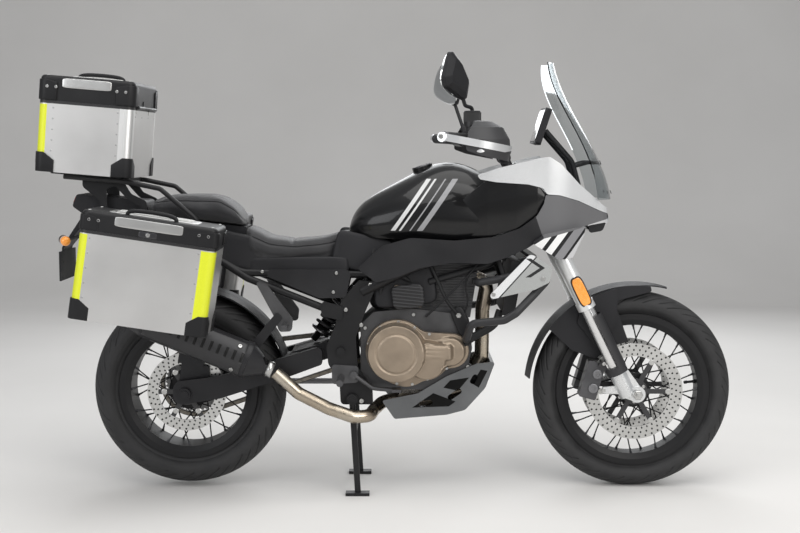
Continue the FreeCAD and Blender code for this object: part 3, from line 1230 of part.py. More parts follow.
def top_box(part):
    """Top box's body or lid, with its half of the hinge along the front edge."""
    fixed, moving = hinge(TOP_BOX_WIDTH - 100)
    half_w = TOP_BOX_WIDTH / 2
    place = V(TOP_BOX_LENGTH / 2 + HINGE_OFFSET, 0, TOP_BOX_BODY_H + SEAT_GAP / 2)
    leaf = fixed if part == "body" else moving
    leaf.rotate(V(0, 0, 0), UP, -90)
    leaf.translate(place)
    if part == "body":
        shell = case_body(TOP_BOX_LENGTH, -half_w, half_w, TOP_BOX_BODY_H)
    else:
        shell = case_lid(TOP_BOX_LENGTH, -half_w, half_w, TOP_BOX_BODY_H, TOP_BOX_LID_H)
    return Part.makeCompound([tilted(s, TOP_BOX_TILT, V(TOP_BOX_X, 0, TOP_BOX_Z)) for s in (shell, leaf)])


RACK_PLATE_T = 5.0
GRAB_Y = 144.0


def rack_underside(x):
    """Height of the top box's carrier plate on its lower face."""
    return TOP_BOX_Z - SEAT_GAP - 8 - (x - TOP_BOX_X) * tan(radians(TOP_BOX_TILT))


def rack_side_plate():
    """Left upright of the carrier: cut-out plate that stands on the rail."""
    lift = RAIL_TUBE_R + 0.7
    rows = [(-1005, rack_underside(-1005) + 4, 0), (-880, rack_underside(-880) + 4, 0), (-846, 984, 20),
            (-798, 962, 14), (-797, 901, 8), (-742, 893, 8), (-742, rail_at(-742).z + lift, 0),
            (-940, rail_at(-940).z + lift, 0), (-950, 964, 24), (-1005, 1008, 20)]
    side_plate = plate(rows, 96, 96 + RACK_PLATE_T)
    window = plate([(-925, 930, 14), (-815, 908, 12), (-818, 944, 12), (-862, 970, 14), (-900, 1012, 14),
                    (-928, 1000, 14)], 90, 110)
    return side_plate.cut(window)


def grab_rail():
    """Left grab rail: tube from the carrier down beside the passenger's cushion to the rail."""
    rail = rail_at(-661)
    approach = V(0.441, 0.42, 0.784).normalize()
    rows = [V(-1060, 118, rack_underside(-1060) - 6), V(-850, GRAB_Y - 2, rack_underside(-850) - 6),
            V(-745, GRAB_Y, 1003), V(-621.5, GRAB_Y, 896.5), rail + approach * (RAIL_TUBE_R + 0.7)]
    return bent_rod(rows, 26, RACK_TUBE_R)


def top_box_rack():
    """Top box's carrier: a slotted plate on two uprights, with a grab rail on each side."""
    top = -SEAT_GAP
    base = plan_plate([(-130, -100, 24), (130, -118, 24), (130, 118, 24), (-130, 100, 24)], top - 8, top)
    for x in (-70, 10, 84):
        base = base.cut(plan_plate([(x - 24, -70, 12), (x + 24, -70, 12), (x + 24, 70, 12),
                                    (x - 24, 70, 12)], -30, 10))
    base = tilted(base, TOP_BOX_TILT, V(TOP_BOX_X, 0, TOP_BOX_Z))
    pieces = [base]
    for x, reach in ((-1000, 124), (-868, 138)):
        z = rack_underside(x) - 5
        pieces.append(rod(V(x, -reach, z), V(x, reach, z), 7))
    pieces += both_sides(rack_side_plate()).Solids + both_sides(grab_rail()).Solids
    return merged(pieces)


def pannier_racks():
    """Tube loop beside each wheel that the pannier hangs on, with arms to the rails."""
    y = PANNIER_IN_Y - 11
    corners = [(-150, -88), (150, -88), (150, 84), (-150, 84)]
    points = [V(u, y, w) for u, w in corners]
    loop_path = Part.Wire(path_edges(points, [34] * 4, closed=True))
    start = loop_path.Edges[0].valueAt(loop_path.Edges[0].FirstParameter)
    tangent = loop_path.Edges[0].tangentAt(loop_path.Edges[0].FirstParameter)
    loop = loop_path.makePipeShell([Part.Wire(Part.makeCircle(RACK_TUBE_R, start, tangent))], True, False)
    pucks = [Part.makeCylinder(20, 11 - SEAT_GAP, V(u, y, w), ACROSS)
             for u, w in ((-100, 84), (100, 84), (-100, -88), (100, -88))]
    frame = tilted(merged([loop] + pucks), PANNIER_TILT, V(PANNIER_X, 0, PANNIER_Z))
    arms = []
    for x, z in ((-640, 799), (-850, 831)):
        arms.append(rod(V(x, y, z), rail_at(x) + ACROSS * (RAIL_TUBE_R + 1.4), RACK_TUBE_R))
    return both_sides(merged([frame] + arms))


def luggage_racks():
    return Part.makeCompound([top_box_rack()] + pannier_racks().Solids)


# ---- foot rests, controls and stands ------------------------------------------------
def pegs():
    """Rider's pegs on plates outside the frame, and the passenger's on hangers from the struts."""
    rider_plate = plate([(-110, 426, 10), (-196, 432, 10), (-196, 366, 10), (-110, 372, 10)],
                        FRAME_OUT_Y + SEAT_GAP, FRAME_OUT_Y + 8)
    rider_plate = rider_plate.cut(Part.makeCylinder(PIVOT_R + 16, 60, V(PIVOT_X, 100, PIVOT_Z), ACROSS))
    peg = rod(V(-166, FRAME_OUT_Y + 4, 388), V(-166, 250, 388), PEG_R)
    hanger = plate([(-448, 710, 8), (-404, 692, 10), (-322, 580, 16), (-326, 540, 12), (-366, 538, 12),
                    (-384, 590, 20)], STRUT_OUT_Y + SEAT_GAP, HANGER_OUT_Y)
    far_peg = rod(V(-345, HANGER_OUT_Y - 4, 560), V(-345, 216, 560), PEG_R - 1)
    rider_pegs = both_sides(merged([rider_plate, peg]))
    pillion_pegs = both_sides(merged([hanger, far_peg]))
    return Part.makeCompound(rider_pegs.Solids + pillion_pegs.Solids)


def foot_controls():
    """Brake pedal on the right and gear lever on the left, from the rider's plates forward."""
    y = FRAME_OUT_Y + 8 + SEAT_GAP
    arm = bent_rod([V(-124, y + 9, 399), V(-62, y + 18, 356), V(14, y + 28, 352)], 40, 7)
    hub_ring = rod(V(-124, y, 399), V(-124, y + 16, 399), 12)
    pedal = Part.makeBox(30, 44, 9, V(0, y + 6, 348))
    lever_tip = rod(V(14, y + 20, 352), V(14, y + 66, 352), 9)
    right = mirrored(merged([arm, hub_ring, pedal]))
    left = merged([arm, hub_ring, lever_tip])
    return Part.makeCompound([right, left])


def foot_rests():
    return Part.makeCompound(pegs().Solids + foot_controls().Solids)


STAND_FOOT_X = -112.0
STAND_LEG_Y = FRAME_OUT_Y + 13.7


def centre_stand():
    """Centre stand: a leg each side with an eye on the frame's stubs, a cross tube and two feet."""
    pieces = []
    for side in (1, -1):
        y = side * STAND_LEG_Y
        top = V(STAND_PIVOT.x, y, STAND_PIVOT.z)
        foot = V(STAND_FOOT_X, y, 8)
        eye = rod(top - ACROSS * 10, top + ACROSS * 10, 18)
        pieces += [eye, rod(top - UP * 6, foot, 10)]
        pieces.append(Part.makeBox(78, 36, 10, V(STAND_FOOT_X - 40, y - 18, 0)))
    pieces.append(rod(V(-124, -STAND_LEG_Y, 214), V(-124, STAND_LEG_Y, 214), 10))
    solid = merged(pieces)
    return solid.cut(rod(STAND_PIVOT - ACROSS * 200, STAND_PIVOT + ACROSS * 200, STAND_PIN_R + RUNNING_GAP))


SIDE_STAND_PIVOT = V(-78, 180, 320)
SIDE_STAND_SPLAY = 21.0
SIDE_STAND_LENGTH = 332.0
SIDE_STAND_PIN_R = 6.0


def side_stand():
    """Side stand, folded back: an eye on the tilted pivot, the leg and its foot."""
    axis = V(0, cos(radians(SIDE_STAND_SPLAY)), sin(radians(SIDE_STAND_SPLAY)))
    eye = rod(SIDE_STAND_PIVOT - axis * 8, SIDE_STAND_PIVOT + axis * 8, 16)
    end = SIDE_STAND_PIVOT - V(SIDE_STAND_LENGTH, 0, 0)
    leg = rod(SIDE_STAND_PIVOT, end, 10)
    foot = Part.makeBox(10, 40, 46, V(end.x - 6, end.y - 4, end.z - 22))
    return merged([eye, leg, foot]).cut(rod(SIDE_STAND_PIVOT - axis * 20, SIDE_STAND_PIVOT + axis * 20,
                                            SIDE_STAND_PIN_R + RUNNING_GAP))


# ---- sub-parts, by node name --------------------------------------------------------
NODES = {
    "main_frame": main_frame,
    "subframe": subframe,
    "engine_block": engine_block,
    "engine_covers": engine_covers,
    "radiator": radiator,
    "radiator_shrouds": radiator_shrouds,
    "crash_bars": crash_bars,
    "skid_plate": skid_plate,
    "exhaust_headers": exhaust_headers,
    "silencer": silencer,
    "fuel_tank": fuel_tank,
    "side_panels": side_panels,
    "upper_fairing": upper_fairing,
    "fairing_stay": fairing_stay,
    "headlight": headlight,
    "windscreen": windscreen,
    "rider_seat": rider_seat,
    "passenger_seat": passenger_seat,
    "tail": tail,
    "swingarm": swingarm,
    "rear_shock": rear_shock,
    "rear_hugger": rear_hugger,
    "drive_chain": drive_chain,
    "luggage_racks": luggage_racks,
    "foot_rests": foot_rests,
    "top_box_body": lambda: top_box("body"),
    "pannier_bodies": pannier_bodies,
    "top_box_lid": lambda: top_box("lid"),
    "right_pannier_lid": right_pannier_lid,
    "left_pannier_lid": left_pannier_lid,
    "triple_clamps": triple_clamps,
    "fork_tubes": fork_tubes,
    "fork_legs": fork_legs,
    "front_mudguard": front_mudguard,
    "front_calipers": front_calipers,
    "handlebar": handlebar,
    "bar_controls": bar_controls,
    "handguards": handguards,
    "mirrors": mirrors,
    "front_tyre": lambda: tyre(FRONT_AXLE, FRONT_BEAD_R, FRONT_TYRE_R, FRONT_TYRE_W, FRONT_RIM_W),
    "front_rim": lambda: spoked_wheel(FRONT_AXLE, FRONT_BEAD_R, FRONT_RIM_W, FRONT_AXLE_R + RUNNING_GAP,
                                      FRONT_HUB_HALF_W, 40, 58, 36),
    "front_discs": front_discs,
    "rear_tyre": lambda: tyre(REAR_AXLE, REAR_BEAD_R, REAR_TYRE_R, REAR_TYRE_W, REAR_RIM_W),
    "rear_rim": lambda: spoked_wheel(REAR_AXLE, REAR_BEAD_R, REAR_RIM_W, REAR_AXLE_R + RUNNING_GAP,
                                     REAR_HUB_HALF_W, 46, 66, 44),
    "rear_disc": rear_disc,
    "rear_sprocket": rear_sprocket,
    "centre_stand": centre_stand,
    "side_stand": side_stand,
}

os.makedirs("parts", exist_ok=True)
for name, build in NODES.items():
    shape = build()
    shape.exportStep("parts/" + name + ".step")
    box = shape.BoundBox
    print(f"{name:20s} solids {len(shape.Solids):3d} valid {shape.isValid()} "
          f"x {box.XMin:8.1f} {box.XMax:8.1f} y {box.YMin:7.1f} {box.YMax:7.1f} z {box.ZMin:7.1f} {box.ZMax:7.1f}")
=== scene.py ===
import bmesh
import bpy
import numpy as np
from functools import partialmethod
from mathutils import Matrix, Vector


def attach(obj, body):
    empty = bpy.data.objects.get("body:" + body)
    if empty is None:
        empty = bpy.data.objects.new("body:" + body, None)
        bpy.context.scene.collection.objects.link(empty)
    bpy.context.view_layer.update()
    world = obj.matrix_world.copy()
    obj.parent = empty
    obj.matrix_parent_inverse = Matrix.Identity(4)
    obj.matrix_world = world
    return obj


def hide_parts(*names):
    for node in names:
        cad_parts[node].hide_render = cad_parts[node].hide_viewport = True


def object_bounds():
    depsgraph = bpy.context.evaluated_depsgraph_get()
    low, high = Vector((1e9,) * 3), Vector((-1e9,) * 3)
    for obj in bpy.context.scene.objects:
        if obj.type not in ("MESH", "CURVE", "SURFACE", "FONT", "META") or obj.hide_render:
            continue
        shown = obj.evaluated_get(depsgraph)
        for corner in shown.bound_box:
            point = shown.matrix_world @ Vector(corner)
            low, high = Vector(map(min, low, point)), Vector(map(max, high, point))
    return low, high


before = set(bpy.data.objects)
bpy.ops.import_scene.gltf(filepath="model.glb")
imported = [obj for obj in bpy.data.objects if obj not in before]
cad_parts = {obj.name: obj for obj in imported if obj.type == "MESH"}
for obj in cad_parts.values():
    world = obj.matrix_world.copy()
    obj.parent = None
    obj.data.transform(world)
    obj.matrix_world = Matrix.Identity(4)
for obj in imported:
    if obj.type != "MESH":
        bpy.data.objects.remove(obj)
cad_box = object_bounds()

# ---- floor, lamps and camera --------------------------------------------------------
# A pale seamless floor that bends up behind the machine, lit by large soft lamps:
# one above, one at the front left, and weaker ones from the side and from behind.


def surface(name, points, closed_across=False, closed_along=False, smooth=True):
    """Mesh of quads over grids of points (grids, rows, columns, 3). Each quad joins a point to the
    next one along its row, the one below that, and the one below itself; closed ways wrap round."""
    points = points.reshape(-1, *points.shape[-3:])
    grids, rows, columns = points.shape[:3]
    down = np.arange(rows - 1 + closed_along)[:, None]
    right = np.arange(columns - 1 + closed_across)[None, :]
    here, below, beside = down * columns, (down + 1) % rows * columns, (right + 1) % columns
    quads = np.stack([here + right, here + beside, below + beside, below + right], axis=-1).reshape(-1, 4)
    quads = (np.arange(grids)[:, None, None] * rows * columns + quads).reshape(-1, 4)
    mesh = bpy.data.meshes.new(name)
    mesh.from_pydata(points.reshape(-1, 3).tolist(), [], quads.tolist())
    mesh.validate()
    mesh.polygons.foreach_set("use_smooth", np.full(len(quads), smooth))
    piece = bpy.data.objects.new(name, mesh)
    bpy.context.scene.collection.objects.link(piece)
    return piece


floor_half, bend_from, bend_r, wall_top = 60.0, 5.0, 3.0, 12.0
turn = np.linspace(0, np.pi / 2, 12)
sweep_y = np.concatenate([[-floor_half, bend_from], bend_from + bend_r * np.sin(turn), [bend_from + bend_r]])
sweep_z = np.concatenate([[0.0, 0.0], bend_r - bend_r * np.cos(turn), [wall_top]])
floor = surface("floor", np.stack(np.broadcast_arrays(
    [-floor_half, floor_half], sweep_y[:, None], sweep_z[:, None]), axis=-1))


class Wire:
    """A socket of a material's nodes that adds, multiplies and compares as a number does."""

    def __init__(self, tree, socket):
        self.tree = tree
        self.socket = socket

    def node(self, kind, settings, inputs, out=0):
        """Any node: its settings first, then the value or link of each input."""
        made = self.tree.nodes.new(kind)
        for key, value in settings.items():
            if key == "stops":
                ramp = made.color_ramp
                while len(ramp.elements) < len(value):
                    ramp.elements.new(0.5)
                for stop, (at, colour) in zip(ramp.elements, value):
                    stop.position = at
                    stop.color = (*colour, 1.0)
            else:
                setattr(made, key, value)
        for key, value in inputs.items():
            if isinstance(value, Wire):
                self.tree.links.new(value.socket, made.inputs[key])
            else:
                made.inputs[key].default_value = value
        return Wire(self.tree, made.outputs[out])

    def maths(self, operation, *others):
        return self.node("ShaderNodeMath", {"operation": operation}, dict(enumerate((self, *others))))

    __add__ = __radd__ = partialmethod(maths, "ADD")
    __sub__ = partialmethod(maths, "SUBTRACT")
    __mul__ = __rmul__ = partialmethod(maths, "MULTIPLY")
    __truediv__ = partialmethod(maths, "DIVIDE")
    __pow__ = partialmethod(maths, "POWER")
    __gt__ = partialmethod(maths, "GREATER_THAN")
    __lt__ = partialmethod(maths, "LESS_THAN")
    __abs__ = partialmethod(maths, "ABSOLUTE")

    def __rsub__(self, other):
        return self * -1.0 + other

    def axis(self, i):
        """One coordinate of a position."""
        return self.node("ShaderNodeSeparateXYZ", {}, {0: self}, i)

    def noise(self, scale, detail=3.0, stretch=(1, 1, 1)):
        """Soft random values from 0 to 1 at this position, stretched along an axis where asked."""
        spread = self.node("ShaderNodeVectorMath", {"operation": "MULTIPLY"}, {0: self, 1: stretch})
        return self.node("ShaderNodeTexNoise", {}, {"Vector": spread, "Scale": scale, "Detail": detail})

    def cells(self, scale):
        """Distance to the nearest of scattered points: 0 in a cell's middle, more at its edge."""
        return self.node("ShaderNodeTexVoronoi", {"feature": "F1"}, {"Vector": self, "Scale": scale})

    def ramp(self, *stops):
        """Colour read off a ramp of (place, colour) stops."""
        return self.node("ShaderNodeValToRGB", {"stops": stops}, {0: self})

    def shades(self, colour, dark, light):
        """From a darker to a lighter shade of one colour."""
        return self.ramp(*((at, tuple(share * c for c in colour)) for at, share in ((0.3, dark), (0.7, light))))

    def span(self, low, high, to_low=0.0, to_high=1.0):
        """Value carried from one range to another, and held at its ends."""
        return self.node("ShaderNodeMapRange", {}, {0: self, 1: low, 2: high, 3: to_low, 4: to_high})

    def inside(self, low, high):
        """1 where the value lies between two limits, else 0."""
        return (self > low) * (self < high)

    def between(self, a, b):
        """Colour a where this value is 0 and b where it is 1."""
        colours = {6: a, 7: b}
        plain = {key: (*value, 1.0) for key, value in colours.items() if not isinstance(value, Wire)}
        return self.node("ShaderNodeMix", {"data_type": "RGBA"}, {0: self, **colours, **plain}, 2)


def finish(name, colour, **sockets):
    """A material with plain numbers on its shader's own sockets. Gives the material, its
    shader and the position on the piece."""
    material = bpy.data.materials.new(name)
    material.use_nodes = True
    tree = material.node_tree
    shader = tree.nodes["Principled BSDF"]
    shader.inputs["Base Color"].default_value = (*colour, 1.0)
    for key, value in sockets.items():
        shader.inputs[key.replace("_", " ")].default_value = value
    return material, shader, Wire(tree, tree.nodes.new("ShaderNodeTexCoord").outputs["Object"])


def feed(shader, **wires):
    """Links wires to the shader's sockets, named with _ for a space."""
    for key, wire in wires.items():
        wire.tree.links.new(wire.socket, shader.inputs[key.replace("_", " ")])


def emboss(shader, height, strength, distance):
    """Bump from a height that runs from 0 to 1, this many metres deep."""
    feed(shader, Normal=height.node("ShaderNodeBump", {}, {
        "Height": height, "Strength": strength, "Distance": distance}))


def wear(piece, material):
    """Puts one material on a piece."""
    piece.data.materials.clear()
    piece.data.materials.append(material)


def dress(material, *names):
    """Puts one material on pieces of the frame."""
    for name in names:
        wear(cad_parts[name], material)


floor_paint, shader, at = finish("floor paint", (0.72, 0.71, 0.69), Roughness=0.9)
feed(shader, Base_Color=at.noise(0.7, 4).ramp((0.3, (0.69, 0.68, 0.665)), (0.7, (0.745, 0.735, 0.72))))
wear(floor, floor_paint)

for name, place, aim_x, aim_z, size, power, colour in (
        ("lamp above", (0.3, -1.2, 4.4), 0.0, 0.5, 4.5, 150, (1.0, 0.99, 0.97)),
        ("lamp front", (2.6, -4.2, 2.4), 0.1, 0.6, 2.6, 95, (1.0, 0.98, 0.95)),
        ("lamp side", (-3.6, -3.4, 2.2), -0.2, 0.6, 2.6, 60, (0.97, 0.98, 1.0)),
        ("lamp behind", (0.5, 3.6, 2.8), 0.0, 0.7, 3.0, 70, (0.96, 0.98, 1.0))):
    light = bpy.data.lights.new(name, "AREA")
    light.shape = "SQUARE"
    light.size = size
    light.energy = power
    light.color = colour
    holder = bpy.data.objects.new(name, light)
    holder.location = place
    x, y, z = np.array([aim_x, 0.0, aim_z]) - np.array(place)
    holder.rotation_euler = (np.arctan2(np.hypot(x, y), -z), 0.0, np.arctan2(-x, y))
    bpy.context.scene.collection.objects.link(holder)

world = bpy.data.worlds.new("room")
bpy.context.scene.world = world
world.use_nodes = True
room = world.node_tree
seen = Wire(room, room.nodes.new("ShaderNodeLightPath").outputs["Is Camera Ray"])
shade = seen.between((0.39, 0.395, 0.405), (0.283, 0.283, 0.284))
room.links.new(shade.socket, room.nodes["Background"].inputs["Color"])
bpy.context.scene.view_settings.view_transform = "Standard"

eye_height = 1.14
eye_away = 4.4
aim_height = 0.739
view = bpy.data.cameras.new("view")
view.lens = 59.5
view.sensor_width = 36.0
view_holder = bpy.data.objects.new("view", view)
view_holder.location = (0.026, -eye_away, eye_height)
view_holder.rotation_euler = (np.pi / 2 - np.arctan2(eye_height - aim_height, eye_away), 0.0, 0.0)
bpy.context.scene.collection.objects.link(view_holder)
bpy.context.scene.camera = view_holder

# ---- frame, rear frame and stands ---------------------------------------------------
# Welded steel tube and cast plates, stove-enamelled in satin black, with a fine orange
# peel and some grey dust in patches that noise sets.


def satin_paint(name, colour, roughness=0.42, peel=0.25, dust=0.12):
    """Enamel: small waves in the surface, and a paler, duller film where noise gathers it."""
    material, shader, at = finish(name, colour, Roughness=roughness, Specular_IOR_Level=0.25)
    film = at.noise(9.0, 5).span(0.45, 0.75, 0.0, dust)
    feed(shader, Base_Color=film.between(colour, tuple(0.8 * c + 0.05 for c in colour)),
         Roughness=film * 0.35 + roughness)
    emboss(shader, at.noise(700.0, 1), peel, 0.0004)
    return material


frame_paint = satin_paint("frame enamel", (0.012, 0.012, 0.013), 0.38)
dress(frame_paint, "main_frame", "subframe", "centre_stand")
dress(satin_paint("rack coating", (0.016, 0.016, 0.017), 0.36), "luggage_racks")
dress(satin_paint("side stand paint", (0.22, 0.22, 0.23), 0.4), "side_stand")
dress(satin_paint("crash bar coating", (0.03, 0.03, 0.032), 0.36, 0.25, 0.05), "crash_bars")

# ---- bolts --------------------------------------------------------------------------
# Socket-head steel screws: a turned head with a round socket recess, twelve faces round, set
# on the surfaces that they hold. Each row gives a place, the way it faces and its radius.


def solid(name, body, material, points, closed_along=False, smooth=True):
    """Closed piece over grids whose rows wrap round. Points that lie on each other are merged, at
    seams and poles, and all faces turn outwards."""
    piece = surface(name, points, True, closed_along, smooth)
    shape = bmesh.new()
    shape.from_mesh(piece.data)
    bmesh.ops.remove_doubles(shape, verts=shape.verts, dist=1e-6)
    bmesh.ops.dissolve_degenerate(shape, edges=shape.edges, dist=1e-7)
    bmesh.ops.holes_fill(shape, edges=shape.edges, sides=0)
    bmesh.ops.recalc_face_normals(shape, faces=shape.faces)
    shape.to_mesh(piece.data)
    shape.free()
    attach(piece, body)
    wear(piece, material)
    return piece


def unit(way):
    """Directions of length 1."""
    way = np.array(way, float)
    return way / np.linalg.norm(way, axis=-1, keepdims=True)


def full_turn(count):
    """Angles evenly round a circle."""
    return np.linspace(0, 2 * np.pi, count, endpoint=False)


def square_axes(way):
    """Two directions square to each given one and to each other."""
    way = unit(way)
    one = unit(np.cross(way, np.where(np.abs(way[..., 2:3]) > 0.9, [1.0, 0.0, 0.0], [0.0, 0.0, 1.0])))
    return way, one, np.cross(way, one)


def scatter(name, body, material, profile, rows, sides=12, turn=0.0):
    """Copies of one turned shape in a single mesh. The profile's rows are (height, radius) in
    radii of the row; each row is (x, y, z, way x, way y, way z, radius)."""
    rows = np.array(rows, float)
    profile = np.array(profile, float)
    way, one, two = square_axes(rows[:, 3:6])
    angle = full_turn(sides)[:, None] + turn
    ring = np.cos(angle) * one[:, None] + np.sin(angle) * two[:, None]
    shape = profile[:, :1, None] * way[:, None, None] + profile[:, 1:, None] * ring[:, None]
    points = rows[:, None, None, :3] + rows[:, 6, None, None, None] * shape
    return solid(name, body, material, points, smooth=False)


def outward(rows, sides=(-1, 1)):
    """Rows that face away from the middle plane, from rows of (x, distance out, z, radius)."""
    return [(x, side * out, z, 0, side, 0, radius) for side in sides for x, out, z, radius in rows]


def rows_of(places, ways, radius):
    """Rows for scatter from places, the ways they face and one radius."""
    places = np.atleast_2d(places)
    return np.hstack([places, np.broadcast_to(ways, places.shape), np.full((len(places), 1), radius)])


SCREW = ((-0.1, 0.0), (-0.1, 1.0), (0.55, 1.0), (0.72, 0.84), (0.72, 0.52), (0.3, 0.46), (0.3, 0.0))
HEX_NUT = ((-0.1, 0.0), (-0.1, 1.0), (0.5, 1.0), (0.62, 0.88), (0.62, 0.5), (1.0, 0.48), (1.05, 0.0))
SIDES = ((-1, "r"), (1, "l"))


def brushed(name, colour, along, roughness=0.32, metallic=1.0, depth=0.35):
    """Brushed metal: noise drawn out along one axis gives the grooves and their gloss."""
    material, shader, at = finish(name, colour, Metallic=metallic, Roughness=roughness)
    grooves = at.noise(900.0, 2, tuple(0.02 if i == along else 1.0 for i in range(3)))
    smear = at.noise(5.0, 4)
    feed(shader, Roughness=grooves * 0.14 + smear * 0.14 + (roughness - 0.12),
         Base_Color=smear.shades(colour, 0.88, 1.0))
    emboss(shader, grooves, depth, 0.0002)
    return material


screw_steel = brushed("screw steel", (0.55, 0.55, 0.54), 0, 0.28)
dark_steel = brushed("blackened steel", (0.07, 0.07, 0.075), 0, 0.34)
plate_out = 0.1335
for side, label in SIDES:
    scatter("frame_bolts_" + label, "chassis", screw_steel, SCREW, outward((
        (-0.070, plate_out, 0.690, 0.008), (-0.150, plate_out, 0.610, 0.007), (-0.100, plate_out, 0.560, 0.007),
        (-0.190, plate_out, 0.420, 0.007), (-0.100, plate_out, 0.310, 0.008)), (side,)))

# ---- engine -------------------------------------------------------------------------
# Die-cast crankcase and cylinders in grey, with clutch and alternator covers painted a
# dull bronze. Castings keep a fine sandy skin; ribs and screws ring each cover.


def cast_skin(name, colour, roughness=0.5, grain=900.0, depth=0.5, metallic=0.6):
    """Cast and painted metal: sandy bumps, and stains that change its colour a little."""
    material, shader, at = finish(name, colour, Roughness=roughness, Metallic=metallic)
    stain = at.noise(14.0, 6)
    feed(shader, Base_Color=stain.shades(colour, 0.82, 1.12),
         Roughness=stain.span(0.3, 0.7, roughness - 0.06, roughness + 0.12))
    emboss(shader, at.noise(grain, 2), depth, 0.0005)
    return material


def turned(name, body, material, profile, centre, way, around=48):
    """Turned piece: rows of (distance along the axis, radius) carried round the axis. Rows of no
    radius close its ends."""
    profile = np.array(profile, float)
    way, one, two = square_axes(way)
    angle = full_turn(around)[:, None]
    ring = np.cos(angle) * one + np.sin(angle) * two
    return solid(name, body, material, np.array(centre) + profile[:, :1, None] * way + profile[:, 1:, None] * ring)


crankcase, shader, at = finish("crankcase casting", (0.06, 0.06, 0.063), Roughness=0.5, Metallic=0.5)
stain = at.noise(14.0, 6)
feed(shader, Base_Color=stain.ramp((0.3, (0.045, 0.045, 0.047)), (0.7, (0.085, 0.085, 0.088))),
     Roughness=stain.span(0.3, 0.7, 0.42, 0.6))
ribs = (at.axis(2) * 95.0).maths("FRACT")
fins = ribs.span(0.3, 0.45) * ribs.span(0.95, 0.8) * at.axis(2).span(0.612, 0.616)
emboss(shader, fins + at.noise(900.0, 2) * 0.15, 0.9, 0.004)
dress(crankcase, "engine_block")
bronze = cast_skin("bronze cover paint", (0.31, 0.25, 0.19), 0.34, metallic=0.7)
dress(bronze, "engine_covers")
bronze_edge = cast_skin("bronze rim paint", (0.42, 0.32, 0.21), 0.3, metallic=0.75)

# The clutch cover is one casting: a round dome with a pressed ring, a lower lobe, and a tapered
# arm forward to the water pump, over a flange that screws hold all round.
cover_x, cover_z = 0.045, 0.462
flange_y = 0.1155


def cover_distance(x, z):
    """Distance outside the cover's outline: two circles, a lobe and an arm, run together."""
    share = np.clip((x - 0.090) / 0.105, 0, 1)
    parts = [np.hypot(x - 0.016, z - 0.476) - 0.102, np.hypot(x - 0.045, z - 0.440) - 0.082,
             np.hypot(x - 0.112, z - 0.450) - 0.070,
             np.hypot(x - 0.090 - 0.105 * share, z - 0.478 + 0.002 * share) - (0.060 - 0.004 * share)]
    return -0.006 * np.log(sum(np.exp(-part / 0.006) for part in parts))


def step_up(value, low, high):
    """0 below a range and 1 above it, with a smooth rise between."""
    share = np.clip((value - low) / (high - low), 0, 1)
    return share * share * (3 - 2 * share)


turn = full_turn(144)
low_r = np.full(turn.shape, 0.02)
high_r = np.full(turn.shape, 0.26)
for _ in range(24):
    middle_r = (low_r + high_r) / 2
    outside = cover_distance(cover_x + middle_r * np.cos(turn), cover_z + middle_r * np.sin(turn)) > 0
    high_r = np.where(outside, middle_r, high_r)
    low_r = np.where(outside, low_r, middle_r)
share = np.concatenate([[0.0, 1.0, 1.0, 0.993, 0.985], np.linspace(0.97, 0.0, 60)])[:, None]
x = cover_x + share * low_r * np.cos(turn)
z = cover_z + share * low_r * np.sin(turn)
from_dome = np.hypot(x - 0.014, z - 0.474)
arm_off = np.abs(z - 0.478 + 0.02 * (x - 0.090))
lift = 0.030 + 0.0 * x
for height in (0.0880 * step_up(-from_dome, -0.101, -0.090),
               0.0690 * step_up(-np.hypot(x - 0.112, z - 0.448), -0.071, -0.058),
               0.0540 * step_up(-np.hypot(x - 0.190, z - 0.476), -0.056, -0.043),
               0.0735 * step_up(-arm_off, -0.040, -0.020) * step_up(-x, -0.225, -0.185) * step_up(x, 0.02, 0.05)):
    lift = np.maximum(lift, height)
lift += 0.0015 * step_up(-from_dome, -0.060, -0.057) - 0.0030 * np.exp(-((from_dome - 0.064) / 0.0035) ** 2)
lift += 0.0015 * np.cos(arm_off * 2 * np.pi / 0.013) * step_up(x, 0.10, 0.12) * (arm_off < 0.020)
lift[:5] = np.array([0.0, 0.0, 0.022, 0.028, 0.030])[:, None]
solid("clutch_cover", "chassis", bronze, np.stack([x, -(flange_y + lift), z], axis=-1))
screw_r = low_r[5::12] - 0.0065
flange = np.stack([cover_x + screw_r * np.cos(turn[5::12]), np.full(12, flange_y + 0.0295),
                   cover_z + screw_r * np.sin(turn[5::12]), np.full(12, 0.0050)], axis=1)
scatter("clutch_cover_screws", "chassis", screw_steel, SCREW, outward(flange, (-1,)))

for index, (x, z, radius, out, inner) in enumerate((  # on the left: alternator, then pump
        (0.112, 0.454, 0.078, 0.180, 0.050), (0.190, 0.478, 0.046, 0.160, 0.026))):
    turned(f"cover_ring_{index}", "chassis", bronze_edge, (
        (-0.004, 0.0), (-0.004, inner + 0.010), (0.004, inner + 0.009), (0.0055, inner + 0.006),
        (0.0055, inner + 0.001), (0.003, inner - 0.001), (0.003, inner * 0.5), (0.005, inner * 0.42),
        (0.005, 0.0)), (x, out, z), (0, 1, 0), 64)
    angles = np.radians(np.arange(0, 360, 360 / max(5, round(radius * 100))))
    screw_r = radius - 0.006
    scatter(f"cover_screws_{index}", "chassis", screw_steel, SCREW, outward(
        [(x + screw_r * np.cos(a), out - 0.012, z + screw_r * np.sin(a), 0.0052) for a in angles], (1,)))


def rounded(value, power):
    """A value's power that keeps its sign."""
    return np.sign(value) * np.abs(value) ** power


